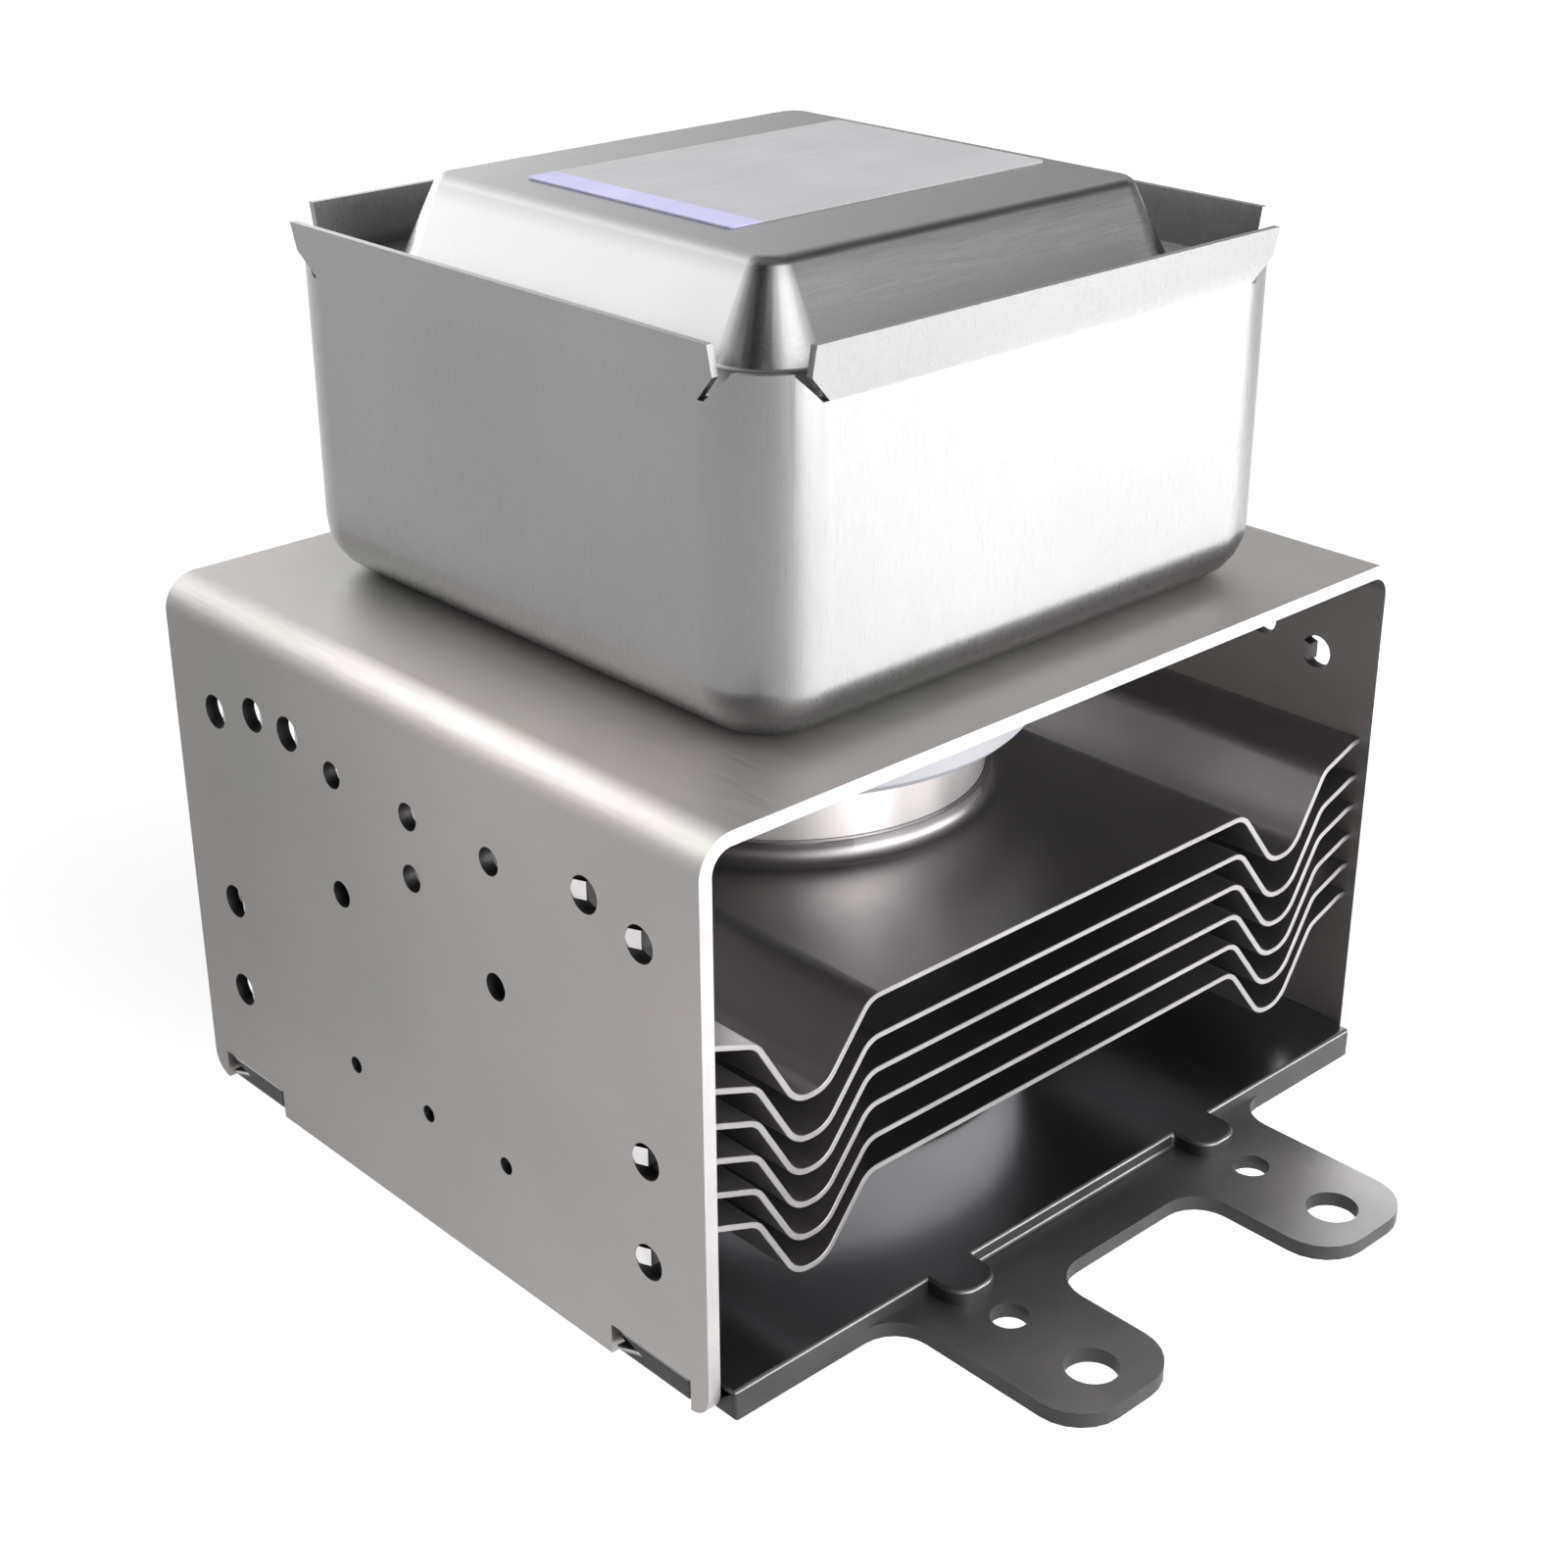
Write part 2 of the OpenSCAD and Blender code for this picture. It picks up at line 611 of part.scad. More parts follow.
module fin_collar(bore) {
    wall = bore + fin_t;
    foot = [wall + fin_collar_r, fin_t / 2 + fin_collar_r];
    sweep = [for (a = [180:15:270]) foot + fin_collar_r * [cos(a), sin(a)]];
    rotate_extrude() polygon(concat(
        [[bore, -fin_t / 2], [bore, fin_collar_h], [wall, fin_collar_h]], sweep, [[foot[0], -fin_t / 2]]));
}

module cooling_fin(i) {
    bore = anode_r + press;
    path = rounded_path(concat(mirrored_x(fin_corners()), fin_corners()));
    color(aluminium) translate([0, 0, fin_z(i)]) {
        difference() {
            rotate([90, 0, 0])
                linear_extrude(yoke_d - 2 * fin_inset, center = true) polygon(sheet_outline(path, fin_t));
            translate([0, 0, -fin_t]) cylinder(r = bore + fin_t, h = 2 * fin_t);
        }
        fin_collar(bore);
    }
}

module cooling_fin_1() { cooling_fin(0); }

module cooling_fin_2() { cooling_fin(1); }

module cooling_fin_3() { cooling_fin(2); }

module cooling_fin_4() { cooling_fin(3); }

module cooling_fin_5() { cooling_fin(4); }

module cooling_fin_6() { cooling_fin(5); }

// Anode and pole pieces

module anode_shell() {
    color(copper) translate([0, 0, anode_z]) difference() {
        ring(anode_d, 2 * anode_in_r, anode_len);
        for (z = [-cut, anode_len - pole_t])
            translate([0, 0, z]) cylinder(r = anode_in_r + pole_ledge, h = pole_t + cut);
    }
}

module anode_vanes() {
    color(copper) translate([0, 0, vane_z]) linear_extrude(vane_h) difference() {
        intersection() {
            circle(r = anode_in_r - press);
            for (i = [0:vane_count - 1])
                rotate(360 * i / vane_count) translate([0, -vane_t / 2]) square([anode_r, vane_t]);
        }
        circle(d = vane_bore);
    }
}

module strap_rings() {
    color(copper)
        for (z = [vane_z - strap_h, vane_top], d = [strap_d, strap_d + strap_step])
            translate([0, 0, z]) ring(d + 2 * strap_w, d, strap_h);
}

// Funnel-shaped disc with its rim at height 0 and its tip pointing down
module pole_piece() {
    rim = anode_in_r + pole_ledge - press;
    bore = pole_bore / 2;
    tip = bore + pole_tip_w;
    cone = tip + pole_t;
    color(steel) rotate_extrude() polygon([
        [bore, -pole_depth], [tip, -pole_depth], [cone, -pole_t], [rim, -pole_t], [rim, 0],
        [cone + pole_t / 2, 0], [bore, pole_t - pole_depth]]);
}

module upper_pole_piece() { translate([0, 0, anode_top]) pole_piece(); }

// Place of the antenna lead between the straps and the sleeve's wall
antenna_lead_x = sleeve_r - sleeve_t - slip - antenna_lead_d;

module lower_pole_piece() {
    difference() {
        translate([0, 0, anode_z]) mirror([0, 0, 1]) pole_piece();
        translate([antenna_lead_x, 0, anode_z - cut])
            cylinder(d = antenna_lead_d + 4 * slip, h = pole_depth + 2 * cut);
    }
}

// Sleeves, stem and cathode

module input_sleeve() {
    color(steel) translate([0, 0, anode_top]) {
        ring(sleeve_flange_d, sleeve_d - 2 * sleeve_t, sleeve_t);
        ring(sleeve_d, sleeve_d - 2 * sleeve_t, stem_z - anode_top);
    }
}

module output_sleeve() {
    r = sleeve_r;
    neck = antenna_d / 2 - ceramic_wall / 2;
    color(steel) rotate_extrude() polygon([
        [sleeve_flange_d / 2, anode_z], [r - sleeve_t, anode_z], [r - sleeve_t, antenna_foot_z + sleeve_t],
        [neck, antenna_foot_z + sleeve_t], [neck, antenna_foot_z], [r, antenna_foot_z], [r, tube_z],
        [sleeve_flange_d / 2, tube_z]]);
}

module stem_ceramic() {
    r = sleeve_r;
    neck = lead_pitch / 2 + 2 * lead_d;
    edge = 0.5;
    color(ceramic) translate([0, 0, stem_z]) difference() {
        rotate_extrude() polygon([
            [0, 0], [r, 0], [r, stem_foot_h], [neck, stem_foot_h + 2 * edge], [neck, stem_h - edge],
            [neck - edge, stem_h], [0, stem_h]]);
        for (x = [-1, 1] * lead_pitch / 2)
            translate([x, 0, -cut]) cylinder(d = lead_d + 2 * press, h = stem_h + 2 * cut);
    }
}

module cathode_filament() {
    steps = 12;
    r = (filament_d - filament_wire_d) / 2;
    run = vane_h - filament_wire_d;
    count = filament_turns * steps;
    angles = [for (i = [0:count]) 360 * i / steps];
    normals = [for (a = angles) [cos(a), sin(a), 0]];
    points = [for (i = [0:count]) r * normals[i] + [0, 0, run * i / count]];
    color(tungsten) translate([0, 0, vane_z + filament_wire_d / 2])
        swept_wire(points, normals, filament_wire_d, 6);
}

module upper_end_hat() {
    color(tungsten) translate([0, 0, vane_top])
        ring(hat_d, lead_d + 4 * slip, hat_t);
}

module lower_end_hat() {
    color(tungsten) translate([0, 0, vane_z - hat_t]) cylinder(d = hat_d, h = hat_t);
}

// Height at which the leads end, level with the choke wires
lead_top = feed_z + choke_wire_d / 2;

module centre_lead() {
    color(tungsten) bent_wire([
        [0, vane_z, 0], [0, lead_bend_z, lead_d], [-lead_pitch / 2, lead_straight_z, lead_d],
        [-lead_pitch / 2, lead_top, 0]], lead_d);
}

module side_lead() {
    x = hat_d / 2 - lead_d / 2;
    color(tungsten) bent_wire([
        [x, vane_top + hat_t, 0], [x, lead_bend_z, lead_d], [lead_pitch / 2, lead_straight_z, lead_d],
        [lead_pitch / 2, lead_top, 0]], lead_d);
}

// Antenna

ceramic_z = antenna_cap_len - antenna_len;

module antenna_ceramic() {
    outer_d = antenna_d - 2 * antenna_cap_t - 2 * press;
    color(ceramic) translate([0, 0, ceramic_z])
        ring(outer_d, outer_d - 2 * ceramic_wall, antenna_foot_z - ceramic_z);
}

module antenna_cap() {
    r = antenna_d / 2;
    t = antenna_cap_t;
    nose = r / 3;
    lip = 2;
    outer = [for (a = [0:15:90]) [r - nose + nose * sin(a), -antenna_len + nose - nose * cos(a)]];
    inner = [for (a = [90:-15:0])
        [r - nose + (nose - t) * sin(a), -antenna_len + nose - (nose - t) * cos(a)]];
    color(steel) rotate_extrude() polygon(concat(
        [[0, -antenna_len]], outer, [[r, ceramic_z + lip], [r - t, ceramic_z + lip]], inner,
        [[0, -antenna_len + t]]));
}

module exhaust_tube() {
    z = -antenna_len + antenna_cap_t;
    color(copper) translate([0, 0, z])
        ring(antenna_d / 2, antenna_lead_d + 2 * press, ceramic_z - z);
}

module antenna_lead() {
    tip = -antenna_len + antenna_cap_t;
    color(copper) bent_wire([
        [antenna_lead_x, vane_z, 0], [antenna_lead_x, tube_z, antenna_lead_d], [0, panel_top, antenna_lead_d],
        [0, tip, 0]], antenna_lead_d);
}

module rf_gasket() {
    inner = sleeve_r + slip;
    soft = gasket_h / 4;
    color(aluminium) rotate_extrude() polygon(rounded_outline([
        [inner, antenna_foot_z, soft], [gasket_d / 2, antenna_foot_z, soft],
        [gasket_d / 2, plate_rise, soft], [inner, plate_rise, soft]]));
}

// Filter box

// Section of the drawn sheet from the corner's centre line, over the foot and up the wall
function box_section(top) =
    let (c = box_corner_r, f = box_foot_r, t = box_t,
         outer = [for (a = [0:15:90]) [c - f + f * sin(a), f - f * cos(a)]],
         inner = [for (a = [90:-15:0]) [c - f + (f - t) * sin(a), f - (f - t) * cos(a)]])
    concat([[0, 0]], outer, [[c, top], [c - t, top]], inner, [[0, t]]);

// Drawn box with upright corners, before its rim is slit
module drawn_box(top) {
    cx = box_w / 2 - box_corner_r;
    cy = box_d / 2 - box_corner_r;
    translate([-cx, -cy, 0]) cube([2 * cx, 2 * cy, box_t]);
    for (a = [0:3]) {
        along = a % 2 == 0 ? cx : cy;
        across = a % 2 == 0 ? cy : cx;
        rotate(90 * a) {
            translate([along, across, 0]) rotate_extrude(angle = 90) polygon(box_section(top));
            translate([-along, across, 0])
                rotate([90, 0, 90]) linear_extrude(2 * along) polygon(box_section(top));
        }
    }
}

// Face of one rim strip, widened by a given amount, from its bend line upwards
module strip_face(half_length, extra, top) {
    foot = half_length - slit_tail;
    polygon([
        [-foot - extra, 0], [foot + extra, 0], [half_length + extra, slit_tail], [half_length + extra, top],
        [-half_length - extra, top], [-half_length - extra, slit_tail]]);
}

// Strip along one side, leaning outwards from its bend line
module rim_strip(half_side, half_length) {
    intersection() {
        rotate([90, 0, 90]) linear_extrude(2 * half_length, center = true) polygon([
            [half_side - box_t, 0], [half_side, 0], [half_side + strip_flare, strip_h],
            [half_side + strip_flare - box_t, strip_h]]);
        rotate([90, 0, 0]) linear_extrude(4 * half_side, center = true) strip_face(half_length, 0, strip_h);
    }
}

module filter_box() {
    color(tin) difference() {
        union() {
            difference() {
                translate([0, 0, yoke_top]) drawn_box(box_h - corner_drop);
                for (a = [0:3]) {
                    half_side = (a % 2 == 0 ? box_d : box_w) / 2;
                    half_length = (a % 2 == 0 ? box_w : box_d) / 2 - strip_end;
                    rotate(90 * a) translate([0, half_side - box_corner_r / 2, bend_z])
                        rotate([-90, 0, 0]) mirror([0, 1, 0]) linear_extrude(box_corner_r)
                            strip_face(half_length, slit_w, strip_h);
                }
            }
            for (a = [0:3])
                translate([0, 0, bend_z]) rotate(90 * a)
                    rim_strip(
                        (a % 2 == 0 ? box_d : box_w) / 2,
                        (a % 2 == 0 ? box_w : box_d) / 2 - strip_end);
        }
        translate([0, 0, yoke_top - cut]) cylinder(r = sleeve_hole_r, h = box_t + 2 * cut);
        translate([0, 0, yoke_top - cut])
            at_corners(rivet_pitch, rivet_pitch) cylinder(d = rivet_d + 2 * press, h = box_t + 2 * cut);
        translate([0, box_d / 2 - box_t - cut, feed_z])
            rotate([-90, 0, 0]) linear_extrude(box_t + 2 * cut) feed_outline(slip);
        translate([0, box_d / 2 - box_t - cut, feed_z])
            rotate([-90, 0, 0]) feed_rivet_places()
                cylinder(d = feed_rivet_d + 2 * press, h = box_t + 2 * cut);
    }
}

module box_rivets() {
    grip = yoke_t + box_t;
    color(steel) translate([0, 0, yoke_inner_top]) at_corners(rivet_pitch, rivet_pitch) {
        translate([0, 0, -rivet_head_h]) cylinder(d = rivet_head_d, h = rivet_head_h);
        cylinder(d = rivet_d, h = grip);
        translate([0, 0, grip]) cylinder(d = rivet_head_d, h = rivet_head_h);
    }
}

// Filter lid

// Block with sloping sides whose top and foot are given as half widths
module sloped_block(top_half, foot_half, foot_z, top_z, r) {
    c = lid_top_w / 2 - lid_corner_r;
    section = rounded_outline([
        [0, foot_z, 0], [foot_half - c, foot_z, 0], [top_half - c, top_z, r], [0, top_z, 0]]);
    translate([-c, -c, foot_z]) cube([2 * c, 2 * c, top_z - foot_z]);
    for (a = [0:90:270])
        rotate(a) {
            translate([c, c, 0]) rotate_extrude(angle = 90) polygon(section);
            translate([-c, c, 0]) rotate([90, 0, 90]) linear_extrude(2 * c) polygon(section);
        }
}

module lid_plate_outline(inset) {
    r = box_corner_r - box_t - press - inset;
    x = box_w / 2 - box_t - press - inset;
    y = box_d / 2 - box_t - press - inset;
    polygon(rounded_outline([[x, y, r], [-x, y, r], [-x, -y, r], [x, -y, r]]));
}

module filter_lid() {
    top_half = lid_top_w / 2;
    foot_half = top_half + lid_slope_run;
    color(tin) difference() {
        union() {
            translate([0, 0, lid_z - lid_skirt_h]) linear_extrude(lid_skirt_h + lid_t) lid_plate_outline(0);
            sloped_block(top_half, foot_half, lid_z, lid_top, lid_edge_r);
        }
        translate([0, 0, lid_z - lid_skirt_h - cut])
            linear_extrude(lid_skirt_h + cut) lid_plate_outline(lid_t);
        sloped_block(top_half - lid_t, foot_half - lid_t, lid_z - cut, lid_top - lid_t, lid_edge_r / 2);
    }
}

module lid_label() {
    color(paper) translate([label_shift_x - label_w / 2, label_shift_y - label_d / 2, lid_top])
        cube([label_w, label_d, label_t]);
}

// Feedthrough and chokes

module feed_outline(grow) {
    x = feed_w / 2 + grow;
    z = feed_h / 2 + grow;
    r = feed_corner_r;
    polygon(rounded_outline([[x, z, r], [-x, z, r], [-x, -z, r], [x, -z, r]]));
}

module feed_rivet_places() {
    at_corners(feed_plate_w - 2 * feed_rivet_inset, feed_plate_h - 2 * feed_rivet_inset) children();
}

// Moves a child to the outer face of the box's back wall, with its Z axis pointing out of the box
module at_feedthrough() {
    translate([0, box_d / 2, feed_z]) rotate([-90, 0, 0]) children();
}

module feedthrough_body() {
    length = feed_inner + feed_plate_t + feed_outer;
    color(plastic) at_feedthrough() difference() {
        union() {
            translate([0, 0, -feed_inner]) linear_extrude(length) feed_outline(0);
            translate([0, 0, feed_plate_t]) linear_extrude(feed_shoulder_h) feed_outline(feed_shoulder_w);
        }
        for (x = [-1, 1] * lead_pitch / 2) {
            translate([x, 0, -feed_inner - cut])
                cylinder(d = choke_wire_d + 2 * press, h = feed_inner + cut);
            translate([x - blade_t / 2 - press, -blade_w / 2 - press, 0])
                cube([blade_t + 2 * press, blade_w + 2 * press, length]);
        }
    }
}

module feedthrough_plate() {
    r = feed_rivet_inset;
    x = feed_plate_w / 2;
    z = feed_plate_h / 2;
    color(steel) at_feedthrough() linear_extrude(feed_plate_t) difference() {
        polygon(rounded_outline([[x, z, r], [-x, z, r], [-x, -z, r], [x, -z, r]]));
        feed_outline(slip);
        feed_rivet_places() circle(d = feed_rivet_d + 2 * press);
    }
}

module feedthrough_rivets() {
    grip = box_t + feed_plate_t;
    head = feed_rivet_head_d;
    color(steel) at_feedthrough() translate([0, 0, -box_t]) feed_rivet_places() {
        translate([0, 0, -rivet_head_h]) cylinder(d = head, h = rivet_head_h);
        cylinder(d = feed_rivet_d, h = grip);
        translate([0, 0, grip]) cylinder(d = head, h = rivet_head_h);
    }
}

// Flat blade with a chamfered nose outside and a round pin inside the box
module terminal_blade(x) {
    w = blade_w / 2;
    reach = feed_plate_t + feed_outer + blade_len;
    nose = 1.5;
    color(steel) at_feedthrough() translate([x, 0, 0]) {
        rotate([0, -90, 0]) linear_extrude(blade_t, center = true) difference() {
            polygon([
                [0, -w], [reach - nose, -w], [reach, -w + nose], [reach, w - nose], [reach - nose, w],
                [0, w]]);
            translate([reach - blade_hole_inset, 0]) circle(d = blade_hole_d);
        }
        translate([0, 0, -feed_inner - choke_wire_d])
            cylinder(d = choke_wire_d, h = feed_inner + choke_wire_d);
    }
}

module terminal_blade_a() { terminal_blade(-lead_pitch / 2); }

module terminal_blade_b() { terminal_blade(lead_pitch / 2); }

// Front and back ends of a choke's wire, between a cathode lead and a feedthrough pin
choke_front = lead_d / 2;
choke_back = box_d / 2 - feed_inner - choke_wire_d;
choke_start = (choke_front + choke_back - choke_len) / 2;

module choke_coil(x) {
    steps = 12;
    r = choke_d / 2;
    count = choke_turns * steps;
    angles = [for (i = [0:count]) 360 * i / steps - 90];
    spokes = [for (a = angles) [cos(a), 0, sin(a)]];
    coil = [for (i = [0:count]) r * spokes[i] + [0, choke_start + choke_len * i / count, r]];
    color(copper) translate([x, 0, feed_z]) swept_wire(
        concat([[0, choke_front, 0]], coil, [[0, choke_back, 0]]),
        concat([spokes[0]], spokes, [spokes[count]]), choke_wire_d);
}

module choke_coil_a() { choke_coil(-lead_pitch / 2); }

module choke_coil_b() { choke_coil(lead_pitch / 2); }

module choke_core(x) {
    color(ferrite) translate([x, choke_start, feed_z + choke_d / 2])
        rotate([-90, 0, 0]) cylinder(d = choke_core_d, h = choke_len);
}

module choke_core_a() { choke_core(-lead_pitch / 2); }

module choke_core_b() { choke_core(lead_pitch / 2); }

yoke_frame();
mounting_plate();
upper_magnet();
lower_magnet();
cooling_fin_1();
cooling_fin_2();
cooling_fin_3();
cooling_fin_4();
cooling_fin_5();
cooling_fin_6();
anode_shell();
anode_vanes();
strap_rings();
upper_pole_piece();
lower_pole_piece();
input_sleeve();
output_sleeve();
stem_ceramic();
cathode_filament();
upper_end_hat();
lower_end_hat();
centre_lead();
side_lead();
antenna_lead();
antenna_ceramic();
antenna_cap();
exhaust_tube();
rf_gasket();
filter_box();
filter_lid();
lid_label();
box_rivets();
feedthrough_body();
feedthrough_plate();
feedthrough_rivets();
terminal_blade_a();
terminal_blade_b();
choke_coil_a();
choke_coil_b();
choke_core_a();
choke_core_b();
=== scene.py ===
"""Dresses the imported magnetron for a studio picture.

The yoke, plate, lower magnet, fins, filter box and lid are remade from their solids with broken edges, and
the label is modelled anew. Every other solid keeps its mesh, and all of them get a finish of their own.
"""
import json
import logging
import math
from dataclasses import dataclass, field
from enum import Enum
from typing import Iterable, Optional

import bpy
from mathutils import Matrix, Vector

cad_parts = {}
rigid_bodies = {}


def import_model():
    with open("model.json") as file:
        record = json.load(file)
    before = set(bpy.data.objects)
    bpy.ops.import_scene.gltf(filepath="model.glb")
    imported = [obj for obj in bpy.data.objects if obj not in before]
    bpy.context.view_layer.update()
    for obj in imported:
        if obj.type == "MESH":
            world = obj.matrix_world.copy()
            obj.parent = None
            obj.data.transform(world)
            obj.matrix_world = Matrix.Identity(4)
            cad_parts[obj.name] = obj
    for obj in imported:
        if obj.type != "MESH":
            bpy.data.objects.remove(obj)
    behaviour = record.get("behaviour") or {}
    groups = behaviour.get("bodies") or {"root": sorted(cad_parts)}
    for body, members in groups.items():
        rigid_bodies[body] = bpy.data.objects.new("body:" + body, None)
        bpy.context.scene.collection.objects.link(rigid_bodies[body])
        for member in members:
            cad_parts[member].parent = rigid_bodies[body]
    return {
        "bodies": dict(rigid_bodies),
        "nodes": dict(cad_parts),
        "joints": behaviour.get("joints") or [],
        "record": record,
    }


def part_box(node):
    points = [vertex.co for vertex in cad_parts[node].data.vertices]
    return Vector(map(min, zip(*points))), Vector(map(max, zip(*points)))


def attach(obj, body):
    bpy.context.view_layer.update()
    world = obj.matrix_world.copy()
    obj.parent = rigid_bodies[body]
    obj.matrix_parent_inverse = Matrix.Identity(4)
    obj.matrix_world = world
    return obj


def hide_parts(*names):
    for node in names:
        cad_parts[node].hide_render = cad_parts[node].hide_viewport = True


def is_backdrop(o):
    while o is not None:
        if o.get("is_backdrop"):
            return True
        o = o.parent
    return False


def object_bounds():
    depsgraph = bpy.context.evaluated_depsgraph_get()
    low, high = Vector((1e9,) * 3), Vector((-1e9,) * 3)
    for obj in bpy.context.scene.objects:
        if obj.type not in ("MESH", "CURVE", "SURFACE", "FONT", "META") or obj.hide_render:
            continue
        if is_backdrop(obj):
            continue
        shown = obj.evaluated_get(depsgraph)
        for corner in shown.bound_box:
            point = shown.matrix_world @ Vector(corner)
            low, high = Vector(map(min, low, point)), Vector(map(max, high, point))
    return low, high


LOG = logging.getLogger("magnetron")
MM = 0.001
BODY = "root"
FIN_COUNT = 6
Colour = tuple[float, float, float]
Socket = bpy.types.NodeSocket

# Limits for joining, breaking and shading the edges of a mesh
WELD_MM = 0.002
SAME_HEIGHT_MM = 0.01
FLAT_ANGLE = math.radians(0.6)
SMOOTH_ANGLE = math.radians(32)
SHARP_ANGLE = math.radians(40)

# Shares of a face's normal along an axis, by which the faces of a piece are sorted
UPRIGHT = 0.3
SLANTED = 0.7
SQUARE_ON = 0.9
LEVEL = 0.95

# Values of the noise at the colours of a finish, and the shade and height of its streaks
MOTTLE_STOPS = (0.3, 0.5, 0.7)
STREAK_STOPS = (0.25, 0.75)
STREAK_SHADE = 0.93
BUMP_MM = 0.05

# Sockets of the mix node that carry colours
MIX_FIRST = 6
MIX_SECOND = 7
MIX_RESULT = 2


class Axis(Enum):
    """Axis of the frame, by its index."""

    X = 0
    Y = 1
    Z = 2


class Grain(Enum):
    """Direction in which a sheet was rolled or drawn, as a stretch of the pattern's axes."""

    ALONG_X = (0.05, 1.0, 1.0)
    ALONG_Y = (1.0, 0.05, 1.0)
    ALONG_Z = (1.0, 1.0, 0.05)
    EVEN = (1.0, 1.0, 1.0)


class NodeGraph:
    """Small helper that adds and joins shader nodes of one material or world."""

    def __init__(self, tree: bpy.types.NodeTree) -> None:
        """Takes over a node tree and empties it."""
        self.tree = tree
        tree.nodes.clear()

    def add(self, kind: str, **settings: object) -> bpy.types.Node:
        """Adds a node.

        Args:
            kind: Blender's name of the node type.
            settings: properties of the node, or values of its inputs by name.

        Returns:
            The new node.
        """
        node = self.tree.nodes.new(kind)
        for key, value in settings.items():
            if hasattr(node, key):
                setattr(node, key, value)
            else:
                node.inputs[key.replace("_", " ")].default_value = value
        return node

    def join(self, a: bpy.types.Node, out: str, b: bpy.types.Node, into: str) -> None:
        """Links an output of one node to an input of another, both by name."""
        self.link(a.outputs[out], b.inputs[into])

    def link(self, source: Socket, target: Socket) -> None:
        """Links an output to an input."""
        self.tree.links.new(source, target)

    def noise(self, at: Socket, size_mm: float, detail: float, rough: float) -> bpy.types.Node:
        """Adds a noise pattern.

        Args:
            at: output that gives the place on the piece.
            size_mm: width of the pattern's specks.
            detail: number of finer layers.
            rough: strength of the finer layers.

        Returns:
            The noise node.
        """
        node = self.add("ShaderNodeTexNoise", Scale=1.0 / (size_mm * MM), Detail=detail, Roughness=rough)
        self.link(at, node.inputs["Vector"])
        return node

    def math(self, operation: str, a: Socket, b: object) -> Socket:
        """Adds a sum on two values.

        Args:
            operation: Blender's name of the operation.
            a: output that gives the first value.
            b: second value, a number or an output.

        Returns:
            The output with the result.
        """
        node = self.add("ShaderNodeMath", operation=operation)
        self.link(a, node.inputs[0])
        if isinstance(b, Socket):
            self.link(b, node.inputs[1])
        else:
            node.inputs[1].default_value = b
        return node.outputs[0]

    def ramp(self, stops: Iterable[tuple[float, Colour]]) -> bpy.types.Node:
        """Adds a colour ramp.

        Args:
            stops: positions from 0 to 1, each with its colour.

        Returns:
            The ramp node.
        """
        node = self.add("ShaderNodeValToRGB")
        stops = list(stops)
        while len(node.color_ramp.elements) < len(stops):
            node.color_ramp.elements.new(0.5)
        for element, (place, colour) in zip(node.color_ramp.elements, stops):
            element.position = place
            element.color = (*colour, 1.0)
        return node

    def blend(self, share: float, first: bpy.types.Node, second: bpy.types.Node) -> Socket:
        """Mixes the colours of two ramps.

        Args:
            share: share of the second colour.
            first: ramp of the first colour.
            second: ramp of the second colour.

        Returns:
            The output with the mixed colour.
        """
        node = self.add("ShaderNodeMix", data_type="RGBA")
        node.inputs["Factor"].default_value = share
        self.link(first.outputs["Color"], node.inputs[MIX_FIRST])
        self.link(second.outputs["Color"], node.inputs[MIX_SECOND])
        return node.outputs[MIX_RESULT]


@dataclass(frozen=True)
class PaintedLightRamp:
    """Painted light and shade: a slow change of a surface's tone along one axis.

    Attributes:
        axis: the axis.
        span_mm: places where the change begins and ends.
        gains: factors on the colour at these places; above 1 they paint light and below 1 they paint shade.
    """

    axis: Axis
    span_mm: tuple[float, float]
    gains: tuple[float, float]


